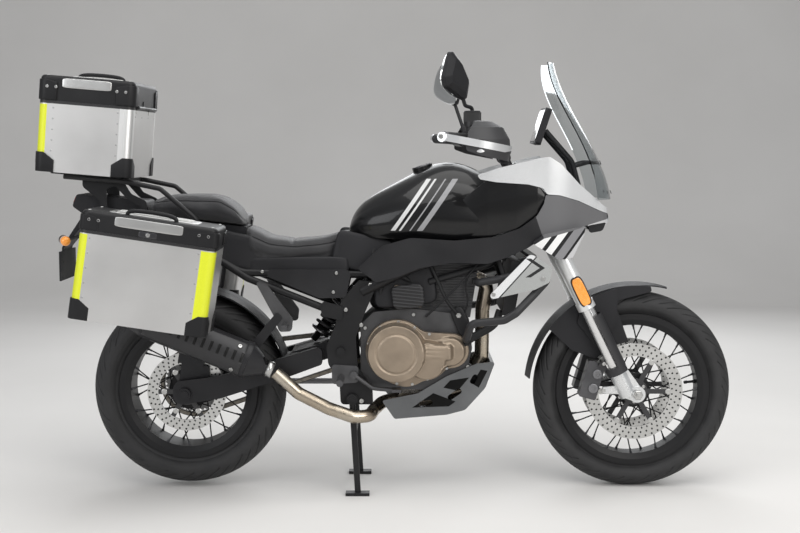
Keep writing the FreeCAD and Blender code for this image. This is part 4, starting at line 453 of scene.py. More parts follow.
def pill(name, body, material, centre, long_way, out_way, length, width, rise, squareness=4.0):
    """Rounded pad: a superellipse outline of this length and width that domes up along the
    outward way, closed underneath."""
    long_way, out_way = unit(long_way), unit(out_way)
    turn = full_turn(48)
    u = rounded(np.cos(turn), 2 / squareness) * length / 2
    v = rounded(np.sin(turn), 2 / squareness) * width / 2
    flat = u[:, None] * long_way + v[:, None] * np.cross(out_way, long_way)
    inset = np.array([0.0, 1.0, 1.0, 0.985, 0.93, 0.80, 0.5, 0.0])[:, None, None]
    lift = np.array([0.0, 0.0, 0.45, 0.72, 0.88, 0.96, 0.99, 1.0])[:, None, None] * rise
    return solid(name, body, material, np.array(centre) + inset * flat + lift * out_way)


turned("oil_filter", "chassis", satin_paint("filter enamel", (0.02, 0.02, 0.022), 0.3), (
    (0, 0), (0, 0.034), (0.062, 0.034), (0.070, 0.031), (0.072, 0.024), (0.068, 0.020), (0.068, 0.0)),
    (0.232, -0.045, 0.395), (0.86, 0, -0.5), 40)
for side, label in SIDES:
    pill("mount_bracket_" + label, "chassis", frame_paint, (0.230, side * 0.1152, 0.560), (-0.387, 0, 0.922),
         (0, side, 0), 0.120, 0.046, 0.0110, 5.0)
scatter("bracket_bolts", "chassis", screw_steel, HEX_NUT, outward((
    (0.2168, 0.1255, 0.5905, 0.0092), (0.2426, 0.1255, 0.5290, 0.0092))), 6)
scatter("engine_screws", "chassis", screw_steel, SCREW, outward([(x, flange_y, z, 0.0062) for x, z in (
    (-0.088, 0.548), (0.236, 0.566), (0.248, 0.420), (0.180, 0.360), (-0.085, 0.362), (0.070, 0.592))]))
turned("starter_motor", "chassis", satin_paint("starter enamel", (0.03, 0.03, 0.032), 0.35), (
    (0, 0), (0, 0.026), (0.006, 0.030), (0.09, 0.030), (0.096, 0.027), (0.096, 0.0)),
    (-0.045, -0.05, 0.632), (0, 1, 0), 40)


def tube(name, body, material, points, radius, sides=16, steps=10):
    """Round tube along a smooth line through the points (Catmull-Rom), with flat ends. The
    sections stand square to the line."""
    points = np.array(points, float)
    padded = np.vstack([2 * points[0] - points[1], points, 2 * points[-1] - points[-2]])
    share = np.linspace(0, 1, steps, endpoint=False)[None, :, None]
    p0, p1, p2, p3 = (padded[i:len(padded) - 3 + i, None] for i in range(4))
    line = 0.5 * (2 * p1 + (p2 - p0) * share + (2 * p0 - 5 * p1 + 4 * p2 - p3) * share ** 2
                  + (3 * p1 - p0 - 3 * p2 + p3) * share ** 3)
    line = np.vstack([line.reshape(-1, 3), points[-1:]])
    way = unit(np.gradient(line, axis=0))
    one = unit(np.cross(way, np.linalg.svd(line - line.mean(0))[2][2]))
    return swept(name, body, material, line, one, np.cross(way, one), radius, sides)


def swept(name, body, material, line, one, two, radius, sides):
    """Round bar round a line, from two directions square to it at each point. Ends are closed."""
    angle = full_turn(sides)[None, :, None]
    rings = line[:, None] + radius * (np.cos(angle) * one[:, None] + np.sin(angle) * two[:, None])
    first, last = (np.repeat(line[i][None, None], sides, axis=1) for i in (0, -1))
    return solid(name, body, material, np.concatenate([first, rings, last]))


hose_rubber = satin_paint("hose rubber", (0.012, 0.012, 0.013), 0.5, 0.5)
breather = ((0.060, -0.112, 0.700), (0.020, -0.128, 0.720), (-0.030, -0.120, 0.690), (-0.040, -0.112, 0.640))
loom = ((0.118, -0.118, 0.772), (0.150, -0.126, 0.700), (0.178, -0.130, 0.640), (0.212, -0.124, 0.596))
to_left = np.array([1, -1, 1])
for name, radius, points in (
        ("coolant_hose_low", 0.013, ((0.352, -0.120, 0.606), (0.330, -0.132, 0.560), (0.262, -0.140, 0.520),
                                     (0.226, -0.136, 0.492))),
        ("coolant_hose_high", 0.012, ((0.372, -0.110, 0.776), (0.330, -0.112, 0.792), (0.292, -0.100, 0.772))),
        ("breather_hose", 0.008, breather),
        ("wiring_loom", 0.006, loom),
        ("clutch_cable", 0.0035, ((0.318, -0.100, 0.808), (0.252, -0.128, 0.726), (0.176, -0.136, 0.650),
                                  (0.130, -0.132, 0.606), (0.110, -0.124, 0.586))),
        ("sensor_lead", 0.003, ((0.262, -0.098, 0.744), (0.240, -0.112, 0.690), (0.246, -0.120, 0.640),
                                (0.236, -0.118, 0.594))),
        ("left_breather", 0.008, breather * to_left),
        ("left_loom", 0.006, loom * to_left)):
    tube(name, "chassis", hose_rubber, points, radius)

# ---- pipes and silencer -------------------------------------------------------------
# Stainless headers that heat has turned straw and brown, a clamp at the joint, and a dark
# coated silencer under a perforated heat shield that stands off on three screws.
pipe_steel, shader, at = finish("heated steel", (0.42, 0.35, 0.27), Metallic=1.0, Roughness=0.3)
feed(shader, Base_Color=at.noise(7.0, 4).ramp(
    (0.25, (0.55, 0.52, 0.47)), (0.5, (0.44, 0.38, 0.30)), (0.75, (0.34, 0.28, 0.22))),
     Roughness=at.noise(40.0, 4).span(0.3, 0.7, 0.2, 0.4))
dress(pipe_steel, "exhaust_headers")
dress(satin_paint("silencer coating", (0.022, 0.022, 0.024), 0.36), "silencer")

silencer_foot = np.array([-0.382, -0.190, 0.420])
silencer_way = np.array([-0.926, 0.0, 0.3775])
silencer_up = np.array([0.3775, 0.0, 0.926])


def around_silencer(distance, angle, radius):
    """Point at a distance along the silencer and an angle up from its outer side."""
    out = np.cos(angle)[..., None] * np.array([0, -1.0, 0]) + np.sin(angle)[..., None] * silencer_up
    return silencer_foot + distance[..., None] * silencer_way + radius * out


shield_from, shield_long, shield_r, half_sheet, rim = 0.10, 0.33, 0.0631, 0.0009, 0.0006
along = np.concatenate([[0.0], np.linspace(rim, shield_long - rim, 33), [shield_long]])[:, None]
angle = np.radians(np.linspace(-52, 62, 24)) * (1 - 0.25 * (along / shield_long) ** 2)
half = half_sheet * np.array([0.0] + [1.0] * 33 + [0.0])[:, None, None]
outer_skin, inner_skin = (around_silencer(*np.broadcast_arrays(shield_from + along, angle), shield_r + lift)
                          for lift in (half, -half))
shield_metal, shader, at = finish("shield coating", (0.03, 0.03, 0.032), Metallic=0.4, Roughness=0.4)
# Painted shade: the perforation slots are coloured near black for the dark seen through them, and a bump sinks
# them.
slot = ((at.axis(0) * -0.926 + at.axis(2) * 0.3775) * 38.0).maths("FRACT")
upwards = at.axis(0) * 0.3775 + at.axis(2) * 0.926
painted_shade_slots = slot.span(0.30, 0.36) * slot.span(0.70, 0.64) * upwards.span(0.238, 0.241) * upwards.span(0.272, 0.269)
feed(shader, Base_Color=painted_shade_slots.between((0.035, 0.035, 0.037), (0.004, 0.004, 0.004)))
emboss(shader, 1.0 - painted_shade_slots + at.noise(600.0, 2) * 0.1, 0.8, 0.002)
solid("heat_shield", "chassis", shield_metal, np.concatenate([outer_skin, inner_skin[:, ::-1]], axis=1))
shield_rows = np.array([(0.125, 40), (0.125, -34), (0.41, 20)])
places = around_silencer(shield_rows[:, 0], np.radians(shield_rows[:, 1]), 0.0638)
ways = places - (silencer_foot + shield_rows[:, :1] * silencer_way)
scatter("shield_screws", "chassis", screw_steel, SCREW, rows_of(places, ways, 0.007))
turned("silencer_end_ring", "chassis", brushed("end ring steel", (0.30, 0.30, 0.31), 1, 0.3), (
    (0.480, 0.020), (0.480, 0.046), (0.484, 0.0475), (0.492, 0.046), (0.494, 0.040), (0.490, 0.030),
    (0.508, 0.026), (0.508, 0.0205), (0.484, 0.020), (0.480, 0.020)), silencer_foot, silencer_way, 56)
turned("pipe_clamp", "chassis", screw_steel, (
    (0.002, 0.0242), (0.002, 0.0268), (0.022, 0.0268), (0.022, 0.0242), (0.002, 0.0242)),
    silencer_foot, silencer_way, 40)

# ---- swingarm, shock, chain and rests -----------------------------------------------
# Cast aluminium arm in black, a coil spring over its damper, and a roller chain whose side
# plates are punched steel links. The skid plate is sheet with its window openings painted as shade.
dress(cast_skin("arm coating", (0.022, 0.022, 0.024), 0.4), "swingarm")
dress(cast_skin("rest casting", (0.10, 0.10, 0.104), 0.42, metallic=0.8), "foot_rests")
dress(satin_paint("radiator black", (0.015, 0.015, 0.016), 0.6), "radiator")
dress(brushed("chain rollers", (0.10, 0.095, 0.09), 0, 0.45), "drive_chain")
dress(brushed("sprocket", (0.30, 0.30, 0.30), 0, 0.4), "rear_sprocket")


def inside_outline(at, *corners):
    """1 inside a convex outline of (x, z) corners in clockwise order, seen from the right."""
    inside = 1.0
    for (x_a, z_a), (x_b, z_b) in zip(corners, corners[1:] + corners[:1]):
        beyond = (at.axis(2) - z_a) * (x_b - x_a) - (at.axis(0) - x_a) * (z_b - z_a)
        inside = (beyond < 0.0) * inside
    return inside


skid, shader, at = finish("skid plate sheet", (0.2, 0.2, 0.2), Specular_IOR_Level=0.1)
# Painted shade: the three window openings are coloured near black and matt, with a bump that sinks them.
painted_shade_windows = (inside_outline(at, (0.066, 0.286), (0.135, 0.334), (0.208, 0.306), (0.186, 0.290))
           + inside_outline(at, (0.168, 0.352), (0.190, 0.376), (0.252, 0.386), (0.216, 0.342))
           + inside_outline(at, (0.262, 0.366), (0.290, 0.412), (0.312, 0.408), (0.284, 0.352)))
painted_shade_windows = painted_shade_windows * (abs(at.axis(1)) > 0.118)
smear = at.noise(6.0, 4)
sheet = smear.ramp((0.3, (0.13, 0.135, 0.14)), (0.7, (0.19, 0.195, 0.20)))
feed(shader, Base_Color=painted_shade_windows.between(sheet, (0.006, 0.006, 0.006)), Metallic=(1.0 - painted_shade_windows) * 0.9,
     Roughness=smear * 0.2 + painted_shade_windows * 0.3 + 0.3)
emboss(shader, 1.0 - painted_shade_windows, 0.9, 0.003)
dress(skid, "skid_plate")

shock_low = np.array([-0.266, 0.0, 0.4924])
shock_way = np.array([-0.112, 0.0, 0.682]) - shock_low
shock_length = np.linalg.norm(shock_way)
shock_way, one, two = square_axes(shock_way)
coils, coil_r, wire_r = 6.5, 0.0300, 0.0055
turn = np.linspace(0, 2 * np.pi * coils, 260)[:, None]
rise = np.linspace(0.046, shock_length - 0.056, 260)[:, None]
coil_out = np.cos(turn) * one + np.sin(turn) * two
spring = swept("shock_spring", "chassis", satin_paint("spring enamel", (0.035, 0.035, 0.038), 0.35),
               shock_low + rise * shock_way + coil_r * coil_out, coil_out, shock_way + 0 * coil_out, wire_r, 12)
damper = turned("shock_body", "chassis", brushed("damper steel", (0.30, 0.30, 0.31), 2, 0.3), (
    (0.001, 0.0), (0.001, 0.012), (0.034, 0.012), (0.036, 0.033), (0.042, 0.0355), (0.045, 0.030), (0.047, 0.021),
    (shock_length * 0.55, 0.021), (shock_length * 0.56, 0.010), (shock_length - 0.056, 0.010),
    (shock_length - 0.054, 0.0355), (shock_length - 0.046, 0.0355), (shock_length - 0.044, 0.014),
    (shock_length - 0.016, 0.013), (shock_length - 0.016, 0.0)), shock_low, shock_way)
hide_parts("rear_shock")
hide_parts("rear_shock")


def on_circle(centre, radius, angle, left=0.0):
    """Points at a radius and an angle up from ahead, round a centre and this far left of it."""
    return centre + np.stack(np.broadcast_arrays(radius * np.cos(angle), left, radius * np.sin(angle)), axis=-1)


# The chain's line is two straights that touch both sprockets, and an arc round each of them.
front_axle = np.array([0.803, 0.0, 0.3295])
rear_axle = np.array([-0.677, 0.0, 0.333])
drive_axle = np.array([-0.075, 0.0, 0.470])
front_r, rear_r = 0.048, 0.112
line = drive_axle - rear_axle
level = np.arctan2(line[2], line[0])
tilt = np.arccos((rear_r - front_r) / np.linalg.norm(line))
loop = np.vstack([on_circle(drive_axle, front_r, np.linspace(level + tilt, level - tilt, 40)),
                  on_circle(rear_axle, rear_r, np.linspace(level - tilt, level + tilt - 2 * np.pi, 90))])
loop = np.vstack([loop, loop[:1]])
travelled = np.concatenate([[0], np.cumsum(np.linalg.norm(np.diff(loop, axis=0), axis=1))])
pitch = 0.01588
links = 2 * round(travelled[-1] / pitch / 2)
pins = np.linspace(0, travelled[-1], links, endpoint=False)
here = np.stack([np.interp(pins, travelled, loop[:, i]) for i in range(3)], axis=1)
after = np.roll(here, -1, axis=0)
link_way = unit(after - here)[:, None]
turn = full_turn(20)[:, None]
waist = 0.0068 - 0.0016 * np.exp(-(np.cos(turn) * 1.5) ** 2 * 3)
flat = ((0.0079 * np.tanh(1.8 * np.cos(turn)) + 0.0066 * np.cos(turn)) * link_way
        + waist * np.sin(turn) * np.cross(link_way, [0, 1, 0]))
for label, chain_y, reach in (("left", 0.1010, 1), ("right", 0.0850, -1)):
    step = np.where(np.arange(links) % 2, 0.0004, 0.0016)[:, None]
    out = chain_y + reach * (step + np.array([-0.001, 0.0, 0.0008, 0.0008]))
    scale = np.array([1.0, 1.0, 0.92, 0.0])[:, None, None]
    plates = ((here + after) / 2)[:, None, None] + scale * flat[:, None] + out[..., None, None] * [0, 1, 0]
    solid("chain_plates_" + label, "chassis", brushed("link plate " + label, (0.26, 0.24, 0.21), 0, 0.36),
          plates, smooth=False)

# ---- wheels -------------------------------------------------------------------------
# Black anodised rims laced with black wire spokes. A dark nipple with flats points along
# each spoke at its outer end, and a rubber valve stands in each rim.
dress(satin_paint("rim anodising", (0.010, 0.010, 0.011), 0.42, 0.1, 0.05), "front_rim", "rear_rim")
NIPPLE = ((-0.3, 0.0), (-0.3, 1.0), (1.2, 1.0), (1.4, 0.75), (3.6, 0.72), (3.9, 0.6), (3.9, 0.0))
spokes, spoke_lean, nipple_r = 32, np.radians(52.0), 0.0042
index = np.arange(spokes)
rim_angle = full_turn(spokes)
to_side = np.where(index % 2, 1, -1)
lean = np.where(index % 4 < 2, 1.0, -1.0)
for end, axle, inner_r, half_rim, flange_r, hub_y in (
        ("front", front_axle, 0.2173, 0.040, 0.053, 0.036), ("rear", rear_axle, 0.1919, 0.062, 0.061, 0.044)):
    places = on_circle(axle, inner_r, rim_angle, to_side * (half_rim - 0.016))
    hubs = on_circle(axle, flange_r, rim_angle - spoke_lean * lean, to_side * hub_y + 0.003 * lean)
    scatter(end + "_nipples", end + "_wheel", dark_steel, NIPPLE, rows_of(places, hubs - places, nipple_r), 8)
    turned(end + "_valve", end + "_wheel", hose_rubber, (
        (0, 0), (0, 0.0075), (0.004, 0.0065), (0.010, 0.0045), (0.026, 0.0042), (0.027, 0.0055), (0.036, 0.0055),
        (0.038, 0.004), (0.038, 0.0)), on_circle(axle, inner_r, 0.1), (-np.cos(0.1), 0, -np.sin(0.1)), 20)

# ---- tyres --------------------------------------------------------------------------
# Radial tyres of black rubber: a rounded crown with slanted tread grooves that run out over
# the shoulder, two grooves round the crown, and a rib on the sidewall above the rim.
tyre_rubber, shader, at = finish("tyre rubber", (0.018, 0.018, 0.019))
scuffed = at.noise(20.0, 5)
feed(shader, Base_Color=scuffed.ramp((0.3, (0.012, 0.012, 0.013)), (0.75, (0.030, 0.030, 0.031))),
     Roughness=scuffed.span(0.3, 0.7, 0.62, 0.8))
emboss(shader, at.noise(500.0, 2), 0.4, 0.0004)


def arc_through(first, middle, last, count):
    """Points on the circle through three points, evenly spaced by angle."""
    first, middle, last = (np.array(p, float) for p in (first, middle, last))
    system = 2 * np.array([middle - first, last - first])
    centre = np.linalg.solve(system, [middle @ middle - first @ first, last @ last - first @ first])
    angles = np.unwrap([np.arctan2(*(p - centre)[::-1]) for p in (first, middle, last)])
    turn = np.linspace(angles[0], angles[2], count)
    return centre + np.linalg.norm(first - centre) * np.stack([np.cos(turn), np.sin(turn)], axis=1)


def tyre(end, axle, bead_r, tyre_r, width, rim_w, pitches):
    """Tyre skin: the section's outline is two sidewall arcs and a crown arc. It turns round the
    axle, and each section is turned a little further towards the shoulders, so that grooves cut
    between two sections lie slanted. Groove depth drops to 6 mm where the tread pattern says."""
    high = tyre_r - bead_r
    foot = np.array([bead_r + 0.0003, rim_w / 2 - 0.0053])
    shoulder = (tyre_r - 0.26 * high, 0.44 * width)
    on_crown = np.array([0.0, 0.10, 0.115, 0.155, 0.17, 0.24, 0.27, 0.36, 0.45, 0.52, 0.55, 0.64, 0.74, 0.80,
                         0.83, 0.92, 1.0])
    crown = arc_through((shoulder[0], -shoulder[1]), (tyre_r, 0), shoulder, 801)[400:]
    wall = arc_through(shoulder, (foot[0] + 0.52 * high, width / 2), foot + [0.24 * high, 0], 15)[1:]
    half = np.vstack([crown[np.round(on_crown * 400).astype(int)], wall, [foot]])
    place = np.concatenate([on_crown, 1 + np.arange(1, 15) / 14.0, [2.1]])
    profile = np.vstack([half[::-1] * [1, -1], half[1:]])
    place = np.concatenate([place[::-1], place[1:]])[:, None]
    slopes = np.gradient(profile, axis=0)
    normals = unit(np.stack([slopes[:, 1], -slopes[:, 0]], axis=1))
    offsets = np.array([0.0, 0.03, 0.13, 0.16, 0.33, 0.50, 0.67, 0.84])
    pitch = np.repeat(np.arange(pitches), len(offsets))
    cut = np.tile([0.0, 1, 1, 0, 0, 0, 0, 0], pitches)
    long_groove = (place >= 0.26) & (place <= 1.22)
    short_groove = (place >= 0.54) & (place <= 1.12)
    slanted = np.where(pitch % 2 == 0, long_groove, short_groove) * cut * np.clip((1.45 - place) / 0.35, 0, 1)
    round_groove = (place > 0.11) & (place < 0.16)
    groove_deep, rib_high = 0.006, 0.0010
    depth = groove_deep * np.maximum(slanted, round_groove) - rib_high * ((place > 1.52) & (place < 1.62))
    outline = profile[:, None] - depth[..., None] * normals[:, None]
    step = 2 * np.pi / pitches
    angle = step * (pitch + np.tile(offsets, pitches) + 1.7 * np.minimum(place, 1.25) ** 1.4)
    skin = solid(end + "_tyre_skin", end + "_wheel", tyre_rubber,
                 on_circle(axle, outline[..., 0], angle, outline[..., 1]), closed_along=True)
    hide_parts(end + "_tyre")


tyre("front", front_axle, 0.2413, 0.3295, 0.110, 0.080, 44)
tyre("rear", rear_axle, 0.2159, 0.3210, 0.150, 0.124, 40)

# ---- brakes -------------------------------------------------------------------------
# Drilled steel discs, ground to a fine swirl, riveted to black carriers with bright floating
# buttons. Rows of small holes run round each disc. Calipers are cast, with a silver arm.


def disc_steel(name, axle, outer_r, band, holes):
    """Disc finish by radius and angle round the axle: bright swirled steel with holes in slanted
    rows painted near black as shade, and a black carrier inside the band."""
    material, shader, at = finish(name, (0.55, 0.55, 0.54))
    hole_r, hole_rows = 0.0034, 3.0
    x, z = at.axis(0) - axle[0], at.axis(2) - axle[2]
    radius = (x * x + z * z) ** 0.5
    row = (radius - (outer_r - band)) * (hole_rows / band)
    turned_on = z.maths("ARCTAN2", x) * (holes / (2 * np.pi)) + row.maths("FLOOR") * 0.33
    # Painted shade: each hole is coloured near black and sunk by a bump, not cut through.
    painted_shade_hole = (((turned_on.maths("FRACT") - 0.5) * (2 * np.pi * outer_r / holes)) ** 2.0
            + ((row.maths("FRACT") - 0.5) * (band / hole_rows)) ** 2.0) < hole_r ** 2
    on_band = radius > outer_r - band
    steel = at.noise(8.0, 3).ramp((0.3, (0.50, 0.50, 0.49)), (0.7, (0.62, 0.62, 0.61)))
    drilled = (painted_shade_hole * on_band).between(steel, (0.01, 0.01, 0.01))
    feed(shader, Base_Color=on_band.between((0.03, 0.03, 0.032), drilled), Metallic=on_band * (1.0 - painted_shade_hole),
         Roughness=(radius * 1800.0).maths("SINE") * 0.04 + 0.30)
    emboss(shader, 1.0 - painted_shade_hole * on_band, 0.6, 0.0015)
    return material


dress(disc_steel("front disc steel", front_axle, 0.160, 0.042, 44), "front_discs")
dress(disc_steel("rear disc steel", rear_axle, 0.130, 0.036, 36), "rear_disc")
BUTTON = ((-0.1, 0.0), (-0.1, 1.0), (0.18, 1.0), (0.25, 0.85), (0.25, 0.45), (0.12, 0.4), (0.12, 0.0))
six = full_turn(6)
for end, side, label, axle, out, ring_r in (
        ("front", -1, "r", front_axle, 0.0705, 0.112), ("front", 1, "l", front_axle, 0.0705, 0.112),
        ("rear", -1, "r", rear_axle, 0.0945, 0.074)):
    for kind, shape, radius, angles, size, sides in (("buttons", BUTTON, ring_r, six, 0.0095, 16),
                                                     ("bolts", SCREW, 0.034, six + 0.5, 0.0058, 12)):
        scatter(f"disc_{kind}_{end}_{label}", end + "_wheel", screw_steel, shape,
                rows_of(on_circle(axle, radius, angles, side * out), (0, side, 0), size), sides)
caliper_coat, shader, at = finish("caliper coating", (0.09, 0.09, 0.095), Metallic=0.8)
stain = at.noise(14.0, 6)
cast = stain.ramp((0.3, (0.07, 0.07, 0.075)), (0.7, (0.11, 0.11, 0.115)))
feed(shader, Base_Color=(at.axis(0) > 0.719).between(cast, (0.66, 0.67, 0.67)), Roughness=stain * 0.2 + 0.26)
emboss(shader, at.noise(900.0, 2), 0.5, 0.0005)
dress(caliper_coat, "front_calipers")

# ---- fork and steering --------------------------------------------------------------
# Silver upper tubes in black clamps, bright stanchions in polished cast feet, and a black
# plastic stone guard ahead of each stanchion. Amber reflectors sit on the tubes' outer side.
rake = np.radians(26.0)
steer_up = np.array([-np.sin(rake), 0.0, np.cos(rake)])
steer_ahead = np.array([np.cos(rake), 0.0, np.sin(rake)])
leg_foot = front_axle - steer_ahead * 0.025
leg_y = 0.105


def along_leg(height, ahead=0.0, side=1, out=0.0):
    """Point beside a fork leg's axis: height up it, distance ahead of it and out from it."""
    return leg_foot + height * steer_up + ahead * steer_ahead + np.array([0, side * (leg_y + out), 0])


dress(brushed("fork tube silver", (0.80, 0.81, 0.81), 1, 0.30, 0.55), "fork_tubes")
dress(cast_skin("clamp coating", (0.03, 0.03, 0.033), 0.4), "triple_clamps")
leg_metal, shader, at = finish("fork leg metal", (0.6, 0.61, 0.61))
from_x, from_z = at.axis(0) - leg_foot[0], at.axis(2) - leg_foot[2]
height = from_x * steer_up[0] + from_z * steer_up[2]
ahead = from_x * steer_ahead[0] + from_z * steer_ahead[2]
aside = abs(at.axis(1)) - leg_y
apart = (ahead * ahead + aside * aside) ** 0.5
beside_tube = 0.0245
guard = (height > 0.087) * (apart > beside_tube)
stanchion = (height > 0.092) * (apart < beside_tube)
cast = at.noise(14.0, 5).ramp((0.3, (0.62, 0.63, 0.64)), (0.7, (0.76, 0.77, 0.77)))
feed(shader, Base_Color=guard.between(stanchion.between(cast, (0.72, 0.72, 0.72)), (0.02, 0.02, 0.022)),
     Metallic=0.75 - guard * 0.75,
     Roughness=guard * 0.30 + stanchion * -0.16 + at.noise(30.0, 4) * 0.1 + 0.23)
emboss(shader, at.noise(900.0, 2) * (1.0 - stanchion), 0.35, 0.0004)
dress(leg_metal, "fork_legs")

# Painted glow: the reflector gets emission, though it is no lamp, and its cell pattern tints that glow.
glowing_amber, shader, at = finish("amber reflector", (0.85, 0.22, 0.02), Roughness=0.15, Coat_Weight=0.8,
                           Emission_Strength=0.25)
cells = at.cells(420.0)
feed(shader, Base_Color=cells.ramp((0.0, (1.0, 0.50, 0.10)), (0.6, (0.86, 0.30, 0.03))),
     Emission_Color=cells.ramp((0.0, (0.9, 0.34, 0.03)), (0.6, (0.5, 0.12, 0.01))))
emboss(shader, cells, 0.8, 0.001)
cup = satin_paint("reflector cup", (0.02, 0.02, 0.022), 0.4)
for side, label in SIDES:
    for name, material, out, *size in (("reflector_cup_", cup, 0.0262, 0.104, 0.042, 0.0045),
                                       ("fork_reflector_", glowing_amber, 0.0302, 0.095, 0.034, 0.0035)):
        pill(name + label, "steering", material, along_leg(0.388, 0.004, side, out), steer_up, (0, side, 0), *size)
scatter("front_axle_nuts", "steering", screw_steel, HEX_NUT, outward(
    [(front_axle[0], 0.1345, front_axle[2], 0.0165)]), 6)
scatter("pinch_bolts", "steering", screw_steel, SCREW, rows_of(
    [along_leg(high, -0.030, side, -0.002) for side in (-1, 1) for high in (-0.010, 0.012)], -steer_ahead, 0.0055))
scatter("caliper_bolts", "steering", screw_steel, SCREW, outward(
    [(0.695, 0.1075, 0.340, 0.0065), (0.695, 0.1075, 0.428, 0.0065)]))
pistons = on_circle(front_axle, 0.141, np.radians([154.0, 174.0]), 0.0965)
scatter("caliper_caps", "steering", cast_skin("cap coating", (0.20, 0.20, 0.21), 0.3), BUTTON,
        outward([(*place, 0.0155) for place in pistons]), 24)
scatter("fork_caps", "steering", screw_steel, HEX_NUT, rows_of(
    [along_leg(0.829, 0, side) for side in (-1, 1)], steer_up, 0.019), 6, 0.3)

# ---- handlebar, controls and mirrors ------------------------------------------------
# Tapered steel bar in black, rubber grips, cast lever perches, black levers. The flat
# handguard bars are bare aluminium outside domed black plastic shells.
dress(satin_paint("bar coating", (0.02, 0.02, 0.022)), "handlebar")


def moulded(name, colour, roughness=0.55, grain=1200.0):
    """Moulded plastic: a fine cellular grain, and a slightly polished look where rubbed."""
    material, shader, at = finish(name, colour, Specular_IOR_Level=0.22)
    rubbed = at.noise(6.0, 4)
    feed(shader, Base_Color=rubbed.shades(colour, 0.85, 1.2),
         Roughness=rubbed.span(0.35, 0.7, roughness - 0.08, roughness + 0.1))
    emboss(shader, at.cells(grain), 0.5, 0.0003)
    return material


controls, shader, at = finish("control plastic", (0.02, 0.02, 0.022))
outboard = abs(at.axis(1)) > 0.312
knurl = (at.axis(1) * 260.0).maths("FRACT")
feed(shader, Roughness=outboard * 0.25 + at.noise(60.0, 3) * 0.1 + 0.4,
     Base_Color=at.noise(30.0, 3).ramp((0.3, (0.014, 0.014, 0.015)), (0.7, (0.030, 0.030, 0.032))))
emboss(shader, knurl.span(0.2, 0.4) * knurl.span(0.9, 0.7) * outboard, 0.7, 0.0015)
dress(controls, "bar_controls")
guards, shader, at = finish("handguard finish", (0.03, 0.03, 0.032))
from_x = at.axis(0) - 0.266
from_y = abs(at.axis(1)) - 0.352
from_dome = (from_x * from_x + from_y * from_y) ** 0.5
bare = ((from_dome > 0.0995) + (abs(at.axis(1)) > 0.4492)) > 0.5
feed(shader, Base_Color=bare.between((0.028, 0.028, 0.030), (0.74, 0.75, 0.76)), Metallic=bare * 0.75,
     Roughness=bare * -0.22 + at.noise(40.0, 3) * 0.1 + 0.48)
emboss(shader, at.noise(900.0, 2), 0.3, 0.0003)
dress(guards, "handguards")
dress(moulded("mirror shell", (0.018, 0.018, 0.020), 0.42), "mirrors")

bar_centre = np.array([0.75806, 0, 0.30758]) + 0.884 * steer_up - 0.002 * steer_ahead
key_way = np.array([-0.92, 0, 0.35])
key_colours = ((0.03, 0.03, 0.032), (0.45, 0.04, 0.02), (0.05, 0.05, 0.052))
leaf = np.array([(-0.036, 0.084), (-0.072, 0.0), (-0.062, -0.030), (0.054, -0.072), (0.072, -0.018),
                 (0.014, 0.052)])
corner, share = np.divmod(np.arange(60) / 10, 1)
share = share[:, None]
a, b, c, d = (leaf[(corner.astype(int) + k) % 6] for k in (-1, 0, 1, 2))
mirror_outline = 1.08 / 6 * ((1 - share) ** 3 * a + (3 * share ** 3 - 6 * share ** 2 + 4) * b
                             + (-3 * share ** 3 + 3 * share ** 2 + 3 * share + 1) * c + share ** 3 * d)
for side, label in SIDES:
    tip = bar_centre + [-0.208, side * 0.430, 0.065]
    inward = unit([0.138, side * -0.230, -0.009])
    turned("bar_weight_" + label, "steering", dark_steel, (
        (0.004, 0.0), (0.004, 0.0165), (-0.006, 0.0175), (-0.009, 0.0165), (-0.010, 0.010), (-0.006, 0.008),
        (-0.006, 0.0)), tip, inward, 40)
    scatter("guard_bolt_" + label, "steering", screw_steel, SCREW,
            rows_of(tip + [-0.013, side * 0.0175, 0.0025], (0, side, 0), 0.0075))
    for index, (along, away, size) in enumerate(((0.160, 0.019, 0.0060), (0.140, 0.019, 0.0050),
                                                 (0.150, 0.0235, 0.0045))):
        key_paint = satin_paint(f"switch key {label} {index}", key_colours[index], 0.35)
        pill(f"switch_{label}_{index}", "steering", key_paint, tip + inward * along + away * key_way, inward,
             key_way, size * 2.4, size * 1.5, 0.0035, 3.0)
    turn = np.radians(35.0) * side
    shrink = np.array([0.0, 0.35, 0.7, 0.93, 1.0, 1.0, 0.0])[:, None]
    depth = np.array([-0.0118, -0.0117, -0.0114, -0.0108, -0.0100, -0.0085, -0.0085])[:, None]
    across = -side * mirror_outline[:, 0] * shrink
    silvered, shader, at = finish("mirror glass " + label, (0.75, 0.77, 0.78), Metallic=1.0)
    feed(shader, Roughness=at.noise(12.0, 3).span(0.4, 0.9, 0.015, 0.06))
    solid("mirror_glass_" + label, "steering", silvered, np.array([0.195, side * 0.330, 1.348]) + np.stack([
        depth * np.cos(turn) - across * np.sin(turn), depth * np.sin(turn) + across * np.cos(turn),
        mirror_outline[:, 1] * shrink + depth * 0.2], axis=-1))
pill("pot_lid", "steering", moulded("pot lid plastic", (0.035, 0.035, 0.038), 0.5), bar_centre
     + [-0.216, -0.430, 0.1495] + 0.190 * unit([0.138, 0.230, -0.009]), (1, 0, 0), (0, 0, 1), 0.050, 0.040, 0.005)

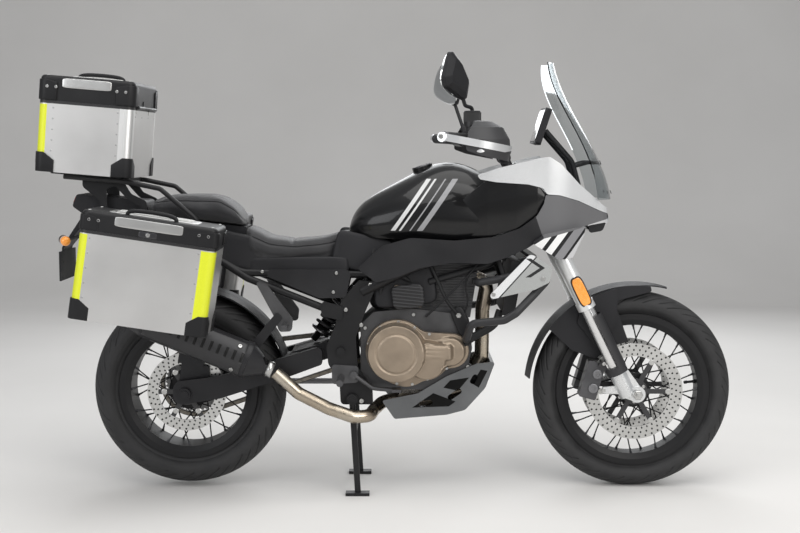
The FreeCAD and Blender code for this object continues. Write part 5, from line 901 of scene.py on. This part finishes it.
# ---- moulded parts ------------------------------------------------------------------
# Black polypropylene with a fine leather-like grain: tail, mudguard and hugger, skirts beside
# the seat and behind the tank, and a louvred cover over the air box.
dark_plastic = moulded("dark plastic", (0.017, 0.017, 0.019), 0.5)
dress(dark_plastic, "tail", "rear_hugger", "front_mudguard", "fairing_stay")
for side, label in SIDES:
    for name, x, out, z, lean, length, high in (
            ("seat_skirt_", -0.306, 0.104, 0.748, 0.01, 0.330, 0.064),
            ("tank_skirt_", -0.096, 0.092, 0.792, -0.22, 0.190, 0.120),
            ("tail_skirt_", -0.520, 0.098, 0.806, -0.25, 0.200, 0.110),
            ("air_box_cover_", 0.040, 0.104, 0.694, 0.10, 0.205, 0.150)):
        pill(name + label, "chassis", dark_plastic, (x, side * out, z), (1, 0, lean), (0, side, 0.1), length, high,
             0.016, 7.0)
    louvre, shader, at = finish("louvre plastic " + label, (0.02, 0.02, 0.022))
    slats = (at.axis(2) * 90.0 + at.axis(0) * 9.0).maths("FRACT")
    # Painted shade: the low gap between each pair of slats is coloured near black.
    feed(shader, Roughness=at.noise(50.0, 3) * 0.15 + 0.38,
         Base_Color=slats.span(0.45, 0.6).between((0.035, 0.035, 0.038), (0.008, 0.008, 0.009)))
    emboss(shader, slats.span(0.6, 0.45) * slats.span(0.0, 0.1), 0.8, 0.004)
    pill("intake_cover_" + label, "chassis", louvre, (0.052, side * 0.1342, 0.654), (1, 0, 0.1), (0, side, 0),
         0.104, 0.078, 0.010, 5.0)

# ---- painted bodywork ---------------------------------------------------------------
# Steel tank in gloss black with slanted grey bands; fairing and shrouds in silver lacquer
# under a clear coat; the dark cowls carry small winglets with painted blocks.


def lacquer(name, colour, flake, metallic, base=0.32, **sockets):
    """Base paint with metal flake under a clear coat. Gives the material, its shader, and the
    position on the piece."""
    coat = {"Coat_Weight": 1.0, "Coat_Roughness": 0.04, "Metallic": metallic, **sockets}
    material, shader, at = finish(name, colour, **coat)
    feed(shader, Roughness=at.noise(1800.0, 1).span(0.3, 0.7, base - flake, base + flake))
    return material, shader, at


tank_black, shader, at = lacquer("tank black", (0.004, 0.004, 0.0045), 0.05, 0.0, 0.3, Coat_Weight=0.4,
                                 Specular_IOR_Level=0.2)
across = at.axis(0) * 0.819 - at.axis(2) * 0.574
on_side = (abs(at.axis(1)) > 0.072) * at.axis(2).inside(0.868, 1.034)
pale = across.inside(-0.5015, -0.4895) + across.inside(-0.4805, -0.4745)
grey = across.inside(-0.4330, -0.4175) + across.inside(-0.4530, -0.4490)
banded = (grey * on_side).between((0.004, 0.004, 0.0045), (0.30, 0.30, 0.31))
feed(shader, Base_Color=(pale * on_side).between(banded, (0.62, 0.62, 0.62)))
dress(tank_black, "fuel_tank")
cap_way, one, two = square_axes([-0.3, 0.0, 1.0])
cap_foot = np.array([0.104, 0, 1.056]) + 0.016 * cap_way
turned("filler_cap", "chassis", brushed("cap metal", (0.12, 0.12, 0.125), 0, 0.3), (
    (-0.002, 0.0), (-0.002, 0.0335), (0.002, 0.0345), (0.005, 0.0325), (0.005, 0.0235), (0.003, 0.0225),
    (0.003, 0.0120), (0.0055, 0.0110), (0.006, 0.0)), cap_foot, cap_way, 56)
turn = np.radians(np.arange(20, 380, 60))[:, None]
scatter("cap_screws", "chassis", screw_steel, SCREW, rows_of(
    cap_foot + 0.0045 * cap_way + 0.0285 * (np.cos(turn) * one + np.sin(turn) * two), cap_way, 0.0026))

silver, shader, at = lacquer("fairing silver", (0.66, 0.67, 0.68), 0.1, 0.3)
feed(shader, Base_Color=at.noise(5.0, 3).ramp((0.3, (0.62, 0.63, 0.64)), (0.7, (0.72, 0.73, 0.74))))
dress(silver, "upper_fairing")
shroud, shader, at = lacquer("shroud silver", (0.6, 0.6, 0.6), 0.1, 0.3)
from_edge = (at.axis(0) - 0.297) * 0.745 - (at.axis(2) - 0.644) * 0.668
off_point = abs(at.axis(2) - 0.756)
chevron = (abs(at.axis(0) + off_point * 1.5 - 0.476) < 0.0085) * (off_point < 0.030)
plain = (from_edge > 0.019).between((0.78, 0.79, 0.80), (0.40, 0.41, 0.405))
feed(shader, Base_Color=(chevron + from_edge.inside(0.019, 0.023) > 0.5).between(plain, (0.012, 0.012, 0.013)))
dress(shroud, "radiator_shrouds")

cowl, shader, at = finish("cowl plastic", (0.02, 0.02, 0.022), Specular_IOR_Level=0.25)
front_line = (at.axis(0) - 0.484) * 0.264 + 0.846
rear_line = (at.axis(0) - 0.435) * 0.653 + 0.814
edge = front_line.maths("MINIMUM", rear_line)
wing = (at.axis(2) < edge) * (at.axis(0) > 0.440)
across = at.axis(0) * 0.8 - at.axis(2) * 0.6
blocks = across.inside(-0.058, -0.032).between((0.010, 0.010, 0.011), (0.22, 0.22, 0.23))
blocks = (across > -0.024).between(blocks, (0.50, 0.50, 0.51))
blocks = ((across < -0.105) + across.inside(-0.092, -0.070)).between(blocks, (0.78, 0.78, 0.78))
rubbed = at.noise(6.0, 4)
plastic = rubbed.ramp((0.3, (0.013, 0.013, 0.0145)), (0.7, (0.022, 0.022, 0.024)))
facet = (at.axis(2) > edge) * (at.axis(0) + at.axis(2) * 0.35 > 0.7805) * (abs(at.axis(1)) > 0.05)
feed(shader, Base_Color=wing.between(facet.between(plastic, (0.13, 0.13, 0.135)), blocks),
     Roughness=rubbed.span(0.35, 0.7, 0.36, 0.5))
emboss(shader, at.cells(1200.0), 0.35, 0.0003)
dress(cowl, "side_panels")
scatter("panel_screws", "chassis", screw_steel, SCREW, outward((
    (-0.420, 0.1378, 0.735, 0.0055), (-0.180, 0.1378, 0.730, 0.0055), (-0.190, 0.1378, 0.668, 0.0055),
    (0.322, 0.2402, 0.672, 0.0065), (0.478, 0.2402, 0.722, 0.0065))))

# ---- headlight, windscreen and display ----------------------------------------------
# Black lamp housing behind a clear cover, two glass projectors and a light bar. The screen
# is clear acrylic held by four screws; a flat black display stands behind it.
housing, shader, at = finish("lamp housing", (0.02, 0.02, 0.022), Coat_Weight=1.0)
lamp_y = abs(at.axis(1)) - 0.043
lamp_z = at.axis(2) - 0.905
ring = (lamp_y * lamp_y + lamp_z * lamp_z) ** 0.5
light_bar = at.axis(2).inside(0.936, 0.942) * (abs(at.axis(1)) < 0.076)
lit = (ring.inside(0.0225, 0.0275) + light_bar) > 0.5
feed(shader, Base_Color=lit.between((0.018, 0.018, 0.02), (0.78, 0.80, 0.82)),
     Roughness=lit * 0.1 + at.noise(30.0, 2) * 0.06 + 0.06)
dress(housing, "headlight")
projector_glass, shader, at = finish("projector glass", (0.55, 0.60, 0.64), Metallic=0.6, Coat_Weight=1.0)
feed(shader, Roughness=at.noise(80.0, 2) * 0.05 + 0.02)
for side, label in SIDES:
    turned("projector_" + label, "chassis", projector_glass, (
        (-0.006, 0.0), (-0.006, 0.0215), (0.000, 0.0215), (0.006, 0.0185), (0.010, 0.0125), (0.012, 0.006),
        (0.0125, 0.0)), (0.7005, side * 0.043, 0.905), (1, 0, 0.1))
screen, shader, at = finish("screen acrylic", (0.62, 0.65, 0.66), Transmission_Weight=1.0, IOR=1.15)
feed(shader, Roughness=at.noise(4.0, 3).span(0.3, 0.8, 0.015, 0.05))
dress(screen, "windscreen")
scatter("screen_screws", "chassis", dark_steel, BUTTON, [
    (x, side * out, z, 0.92, side * 0.16, 0.36, radius) for side in (-1, 1)
    for x, out, z, radius in ((0.6795, 0.068, 1.086, 0.0075), (0.716, 0.060, 0.990, 0.0065))], 16)
display_glass, shader, at = finish("display glass", (0.008, 0.009, 0.011), Coat_Weight=1.0)
feed(shader, Roughness=at.noise(14.0, 4).span(0.4, 0.8, 0.05, 0.14))
pill("display_glass", "chassis", display_glass, (0.4823, 0, 1.2072), (0, 1, 0), (-0.951, 0, 0.309), 0.166, 0.106,
     0.0024, 9.0)

# ---- rear lights --------------------------------------------------------------------
# Red tail lens at the end of the tail, and amber turn signals on a cross stalk.
red, shader, at = finish("red lens", (0.40, 0.01, 0.01), Roughness=0.12, Coat_Weight=1.0)
feed(shader, Base_Color=at.cells(300.0).ramp((0.0, (0.55, 0.02, 0.015)), (0.6, (0.28, 0.006, 0.006))))
pill("tail_lens", "chassis", red, (-1.0395, 0, 0.963), (0, 1, 0), (-0.93, 0, 0.37), 0.112, 0.030, 0.006, 6.0)
# The signal lenses take a copy of the reflector's material, painted glow included.
signal_amber = glowing_amber.copy()
signal_amber.name = "signal amber"
for side, label in SIDES:
    turned("signal_lens_" + label, "chassis", signal_amber, (
        (-0.030, 0.0), (-0.030, 0.0156), (0.000, 0.0156), (0.005, 0.0148), (0.010, 0.011), (0.0125, 0.005),
        (0.013, 0.0)), (-1.040, side * 0.196, 0.838), (0.024, side * 0.068, 0.0), 40)

# ---- seats --------------------------------------------------------------------------
# Foam cushions in dark grey vinyl, pulled down to the pan along their lower edge. A piped seam
# runs round each top panel, and a sewn channel crosses the rider's.


def vinyl(name, colour):
    """Coated cloth: leather-like cells in the surface, duller in the low places."""
    material, shader, at = finish(name, colour, Specular_IOR_Level=0.25, Sheen_Weight=0.15)
    cells = at.cells(420.0)
    wide = at.noise(9.0, 4)
    feed(shader, Base_Color=wide.shades(colour, 0.8, 1.25), Roughness=cells.span(0.0, 0.6, 0.42, 0.6))
    emboss(shader, cells + wide * 0.4, 0.6, 0.0006)
    return material


def corners_of(mesh, attribute="co"):
    """Places of a mesh's vertices, or their normals."""
    values = np.empty(len(mesh.vertices) * 3)
    mesh.vertices.foreach_get(attribute, values)
    return values.reshape(-1, 3)


def move_to(mesh, places):
    """Puts a mesh's vertices at new places."""
    mesh.vertices.foreach_set("co", places.ravel())
    mesh.update()


def swell(piece, held_points, farthest):
    """Where cloth with air pressure inside lets each point go, while some points are held and
    none goes farther than this."""
    start = corners_of(piece.data)
    piece.vertex_groups.new(name="pan").add(held_points.tolist(), 1.0, "REPLACE")
    cloth = piece.modifiers.new("swell", "CLOTH")
    cloth.settings.quality = 4
    cloth.settings.use_pressure = True
    cloth.settings.uniform_pressure_force = 4.0
    cloth.settings.vertex_group_mass = "pan"
    cloth.settings.effector_weights.gravity = 0.0
    scene = bpy.context.scene
    for step in range(1, 21):
        scene.frame_set(step)
    shift = corners_of(piece.evaluated_get(bpy.context.evaluated_depsgraph_get()).data) - start
    scene.frame_set(1)
    piece.modifiers.remove(cloth)
    far = np.linalg.norm(shift, axis=1, keepdims=True)
    return start + shift * np.minimum(1.0, farthest / np.maximum(far, 1e-9))


def cushion(name, node, table, channels=()):
    """Crowned closed form from a table of (x, low, high, half width): each section is a
    superellipse, and the sections shrink smoothly at both ends. Cloth with air pressure swells
    it, held along its base; then the seams are pressed in and piped."""
    table = np.array(table)
    x = np.linspace(table[0, 0], table[-1, 0], 61)
    kernel = np.hanning(9) / np.hanning(9).sum()
    low, high, half = (np.convolve(np.pad(np.interp(x, table[:, 0], column), 4, mode="edge"), kernel, mode="valid")
                       for column in table[:, 1:].T)
    middle = (low + high) / 2
    close = ((1 - np.abs(np.linspace(-1, 1, 61)) ** 22) ** (1 / 2.6))[:, None]
    turn = full_turn(88)
    rise = rounded(np.sin(turn), 0.62)
    inset, voxel, held_high, swell_cap = 0.004, 0.0055, 0.022, 0.0045
    seam_angle, seam_r, seam_half, seam_deep, channel_half = 0.62, 0.055, 0.005, 0.0035, 0.006
    y = (half[:, None] - inset) * close * rounded(np.cos(turn), 0.5) * (1 - 0.05 * (rise < 0))
    z = middle[:, None] + ((high - low)[:, None] / 2 - inset) * (0.72 + 0.28 * close) * rise
    grid = np.stack([np.broadcast_to(x[:, None], y.shape), y, z], axis=-1)
    ends = [np.broadcast_to([x[i], 0.0, middle[i]], (1, 88, 3)) for i in (0, -1)]
    piece = solid(name, "chassis", seat_cover, np.concatenate([ends[0], grid, ends[1]]))
    bpy.context.view_layer.objects.active = piece
    piece.select_set(True)
    remesh = piece.modifiers.new("even", "REMESH")
    remesh.mode = "VOXEL"
    remesh.voxel_size = voxel
    bpy.ops.object.modifier_apply(modifier=remesh.name)
    mesh = piece.data
    here = corners_of(mesh)
    here = swell(piece, np.flatnonzero(here[:, 2] < np.interp(here[:, 0], x, low) + held_high), swell_cap)
    angle = np.arctan2((here[:, 2] - np.interp(here[:, 0], x, middle)) / np.interp(here[:, 0], x, high - low),
                       np.abs(here[:, 1]) / np.interp(here[:, 0], x, 2 * half))
    press = np.exp(-((angle - seam_angle) * seam_r / seam_half) ** 2)
    for channel_x in channels:
        off = here[:, 0] - channel_x - 0.05 * np.abs(here[:, 1])
        press = np.maximum(press, np.clip((angle - seam_angle) / 0.2, 0, 1) * np.exp(-(off / channel_half) ** 2))
    move_to(mesh, here)
    here = here - seam_deep * press[:, None] * corners_of(mesh, "normal")
    move_to(mesh, here)
    mesh.polygons.foreach_set("use_smooth", np.ones(len(mesh.polygons), bool))
    finer = piece.modifiers.new("finer", "SUBSURF")
    finer.levels = finer.render_levels = 1
    piece.select_set(False)
    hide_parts(node)
    for side, label in SIDES:
        mine = here[(np.abs(angle - seam_angle) < 0.10) & (np.sign(here[:, 1]) == side)]
        weight = np.exp(-((mine[:, 0] - np.linspace(x[4], x[-5], 34)[:, None]) / 0.008) ** 2)
        path = weight @ mine / weight.sum(1, keepdims=True)
        tube(f"{name}_pipe_{label}", "chassis", piping,
             path + 0.0012 * np.array([0, side * np.cos(seam_angle), np.sin(seam_angle)]), 0.0017, 8, 3)


seat_cover = vinyl("seat vinyl", (0.028, 0.028, 0.030))
piping = vinyl("seat piping", (0.020, 0.020, 0.022))
cushion("rider_cushion", "rider_seat", (
    (-0.478, 0.744, 0.886, 0.124), (-0.440, 0.744, 0.866, 0.127), (-0.400, 0.744, 0.843, 0.128),
    (-0.320, 0.744, 0.832, 0.124), (-0.220, 0.744, 0.842, 0.100), (-0.130, 0.752, 0.868, 0.066)), (-0.330,))
cushion("passenger_cushion", "passenger_seat", (
    (-0.788, 0.911, 0.966, 0.100), (-0.720, 0.903, 0.980, 0.116), (-0.640, 0.894, 0.981, 0.121),
    (-0.560, 0.886, 0.980, 0.124), (-0.505, 0.880, 0.942, 0.124), (-0.480, 0.877, 0.896, 0.117)))

# ---- luggage ------------------------------------------------------------------------
# Aluminium cases folded from 2 mm sheet, with riveted seams, reflective tape on the corners,
# black moulded corner guards, and black lids that carry a bare plate and a strap handle.


class Case:
    """One case's own axes: along its length, across, and up from its floor; the whole leans by
    its tilt about the machine's cross axis. Pads and shells are placed in these axes."""

    def __init__(self, name, length, y_from, y_to, high, lid_high, tilt, place, drop):
        self.name, self.lid = name, name + "_lid"
        self.length, self.high, self.lid_high, self.drop = length, high, lid_high, drop
        self.out_y = {-1: y_from, 1: y_to}
        self.middle_y, self.width = (y_from + y_to) / 2, y_to - y_from
        self.ahead = np.array([np.cos(tilt), 0, -np.sin(tilt)])
        self.up = np.array([np.sin(tilt), 0, np.cos(tilt)])
        self.place = np.array(place)

    def world(self, x, y, z):
        """Points of the machine from points of the case."""
        x, y, z = (v[..., None] for v in np.broadcast_arrays(x, y, z))
        return self.place + x * self.ahead + y * np.array([0, 1, 0]) + (z - self.drop) * self.up

    def way(self, x, y, z):
        """A direction of the machine from one of the case."""
        return x * self.ahead + y * np.array([0, 1, 0]) + z * self.up

    def corner(self, end, side, run, grow, height):
        """Points round one upright corner: run is the length along the rounded outline from the
        corner's middle, grow the distance outside the wall."""
        radius = 0.022
        bend = np.clip(run / radius, -np.pi / 4, np.pi / 4)
        spare = run - bend * radius
        angle = np.pi / 4 + bend
        return self.world(
            end * (self.length / 2 - radius + (radius + grow) * np.cos(angle) - np.maximum(spare, 0)),
            self.out_y[side] + side * ((radius + grow) * np.sin(angle) + np.minimum(spare, 0) - radius), height)

    def wrap(self, name, body, reach, low, high, slope, thick):
        """Shells folded round the upright corners. The height falls away from the fold by the
        slope, and the thickness tapers to nothing at its rims, so each is closed. None reaches
        past the machine's own box by more than a hair."""
        hair = 0.0006
        run = np.linspace(-reach, reach, 33)
        top = high - slope * np.maximum(0, np.abs(run) - 0.020)
        height = low + np.array([0.0, 0.0, 0.04, 0.5, 0.96, 1.0, 1.0])[:, None] * (top - low)
        growth = np.array([0.0, 1.0, 1.15, 1.15, 1.15, 1.0, 0.0])[:, None] * thick - 0.0002
        for index, (end, side) in enumerate(((-1, -1), (-1, 1), (1, -1), (1, 1))):
            points = np.concatenate([self.corner(end, side, run, growth, height),
                                     self.corner(end, side, run[::-1], -0.0002, height[:, ::-1])], axis=1)
            solid(f"{self.name}_{name}_{index}", body, guard_plastic,
                  np.clip(points, np.array(cad_box[0]) - hair, np.array(cad_box[1]) + hair))

    def pad(self, name, material, centre, long_way, out_way, *sizes):
        """A rounded pad on the lid."""
        pill(f"{self.name}_{name}", self.lid, material, self.world(*centre), self.way(*long_way),
             self.way(*out_way), *sizes)


cases = (Case("top_box", 0.300, -0.200, 0.200, 0.225, 0.080, np.radians(4.7), (-0.983, 0.0, 1.050), 0.0),
         *(Case(name, 0.410, y_from, y_from + 0.205, 0.270, 0.060, np.radians(8.5), (-0.745, 0.0, 0.731), 0.135)
           for name, y_from in (("right_pannier", -0.480), ("left_pannier", 0.275))))


def case_sheet(name, case, taped, pale_from=9.0):
    """Sheet finish in the case's own axes: brushed aluminium with a pressed frame line, and
    reflective tape on its corners, from rows of (low along, high along, low across, high
    across)."""
    colour = (0.68, 0.675, 0.665)
    material, shader, at = finish(name, colour)
    x, z = (at.axis(i) - case.place[i] for i in (0, 2))
    along = x * case.ahead[0] + z * case.ahead[2]
    up = x * case.up[0] + z * case.up[2] + case.drop
    across = abs(at.axis(1))
    grooves = at.noise(900.0, 2, (0.02, 0.02, 1.0))
    smear = at.noise(5.0, 4)
    tape = sum(along.inside(low, high) * across.inside(near, far) for low, high, near, far in taped)
    tape = tape * up.inside(0.016, case.high - 0.012)
    rim = up > case.high - 0.009
    frame_line = abs(along).inside(case.length / 2 - 0.0300, case.length / 2 - 0.0265)
    lime = at.cells(700.0).ramp((0.0, (0.78, 0.82, 0.03)), (0.7, (0.66, 0.72, 0.02)))
    trimmed = rim.between(smear.shades(colour, 0.90, 1.0), (0.02, 0.02, 0.021))
    pale = along.inside(pale_from, case.length / 2 + 0.01) * across.inside(0.168, 0.21) * (1.0 - rim)
    feed(shader, Base_Color=tape.between(pale.between(trimmed, (0.86, 0.86, 0.85)), lime),
         Metallic=(1.0 - tape) * (1.0 - rim) * 0.9, Roughness=grooves * 0.14 + smear * 0.12 + 0.26)
    emboss(shader, grooves * 0.15 - frame_line, 0.5, 0.0012)
    return material


dress(case_sheet("top box sheet", cases[0], ((-0.16, -0.122, 0.168, 0.21),), 0.108), "top_box_body")
dress(case_sheet("pannier sheet", cases[1], ((0.163, 0.215, 0.440, 0.49), (-0.215, -0.177, 0.440, 0.49))),
      "pannier_bodies")
dress(satin_paint("lid coating", (0.014, 0.014, 0.015), 0.42), *(case.lid for case in cases))
guard_plastic = moulded("corner guard plastic", (0.013, 0.013, 0.014), 0.42, 700.0)
lid_plate = brushed("lid plate", (0.60, 0.60, 0.59), 0, 0.34)
rivet_metal = brushed("rivet metal", (0.50, 0.50, 0.50), 0, 0.3)
strap = moulded("strap rubber", (0.012, 0.012, 0.013), 0.5)
latch_metal = brushed("latch metal", (0.10, 0.10, 0.105), 2, 0.3)
DOME = ((-0.1, 0.0), (-0.1, 1.0), (0.05, 1.0), (0.28, 0.72), (0.36, 0.35), (0.38, 0.0))
ALONG, UP = (1, 0, 0), (0, 0, 1)
ends = np.array([-1, 1])

for case in cases:
    pannier = case.name != "top_box"
    outer = int(np.sign(case.middle_y)) or 1
    sides = (outer,) if pannier else (-1, 1)
    half_long, top = case.length / 2, case.high + case.lid_high
    case.wrap("foot", "chassis", 0.054, 0.000, 0.062, 0.7, 0.0040)
    case.wrap("brow", case.lid, 0.052, case.high + 0.002, top - 0.014, 0.25, 0.0042)
    rear_x = 0.0345 if pannier else 0.048
    seam_z = np.linspace(0.068, case.high - 0.022, 5)[:, None]
    seams = [rows_of(case.world([rear_x - half_long, half_long - 0.048], case.out_y[side] - side * 0.0002,
                                seam_z).reshape(-1, 3), (0, side, 0), 0.0032) for side in sides]
    seam_y = np.linspace(case.out_y[-1] + 0.040, case.out_y[1] - 0.040, 4)
    seams += [rows_of(case.world(end * (half_long - 0.0001), seam_y, case.high - 0.030), case.way(end, 0, 0),
                      0.0032) for end in ends]
    scatter(case.name + "_rivets", "chassis", rivet_metal, DOME, np.vstack(seams))
    case.pad("top_plate", lid_plate, (0, case.middle_y, top - 0.0005), ALONG, UP,
             case.length * 0.66, case.width * 0.56, 0.0035, 10.0)
    for index, side in enumerate(sides):
        sunk = 0.0024 if pannier else 0.0002
        case.pad(f"edge_plate_{index}", lid_plate, (0, case.out_y[side] - side * sunk, top - 0.022), ALONG,
                 (0, side, 0), case.length * 0.52, 0.030, 0.0030, 8.0)
    for index, share in enumerate((-0.15, 0.0, 0.15)):
        case.pad(f"bead_{index}", lid_plate, (0, case.middle_y + share * case.width, top + 0.0028), ALONG, UP,
                 case.length * 0.56, 0.012, 0.0035, 3.0)
    reach = min(0.075, case.length * 0.25)
    strap_y = case.middle_y + (outer * 0.070 if pannier else 0.0)
    tube(case.name + "_handle", case.lid, strap, case.world(
        reach * np.array([-1, -0.92, -0.6, 0, 0.6, 0.92, 1]), strap_y,
        top + np.array([-0.002, 0.010, 0.0155, 0.0170, 0.0155, 0.010, -0.002])), 0.0062, 12, 6)
    lid_up, raised = case.way(*UP), -0.0026 if pannier else 0.0036
    near_end = np.array([0.020 - half_long, half_long - 0.020])
    side_x = np.array([-1, -1, 1, 1]) * (half_long - np.array([0.026, 0.054, 0.026, 0.054]))
    screws = [rows_of(case.world(near_end, case.middle_y + end * (case.width / 2 - 0.022), top - 0.002), lid_up,
                      0.0052) for end in ends]
    screws += [rows_of(case.world(side_x, case.out_y[side] + side * raised, case.high + 0.55 * case.lid_high),
                       (0, side, 0), 0.0050) for side in sides]
    screws += [rows_of(case.world(ends * reach, strap_y, top + 0.001), lid_up, 0.0045)]
    scatter(case.name + "_lid_screws", case.lid, screw_steel, SCREW, np.vstack(screws))
    if pannier:
        spots = ((0, case.out_y[outer] - outer * 0.0014, case.high + 0.011),)
        long_way, out_way, size, lock_rise = ALONG, (0, outer, 0), (0.056, 0.018, 0.0018), 0.0012
    else:
        spots = ((-half_long, -0.090, case.high + 0.020), (-half_long, 0.090, case.high + 0.020))
        long_way, out_way, size, lock_rise = UP, (-1, 0, 0), (0.046, 0.030, 0.0070), 0.0025
    for index, spot in enumerate(spots):
        case.pad(f"latch_{index}", latch_metal, spot, long_way, out_way, *size, 6.0)
        case.pad(f"lock_{index}", screw_steel, np.array(spot) + np.array(out_way) * (size[2] - 0.0010), long_way,
                 out_way, 0.013, 0.013, lock_rise, 2.0)
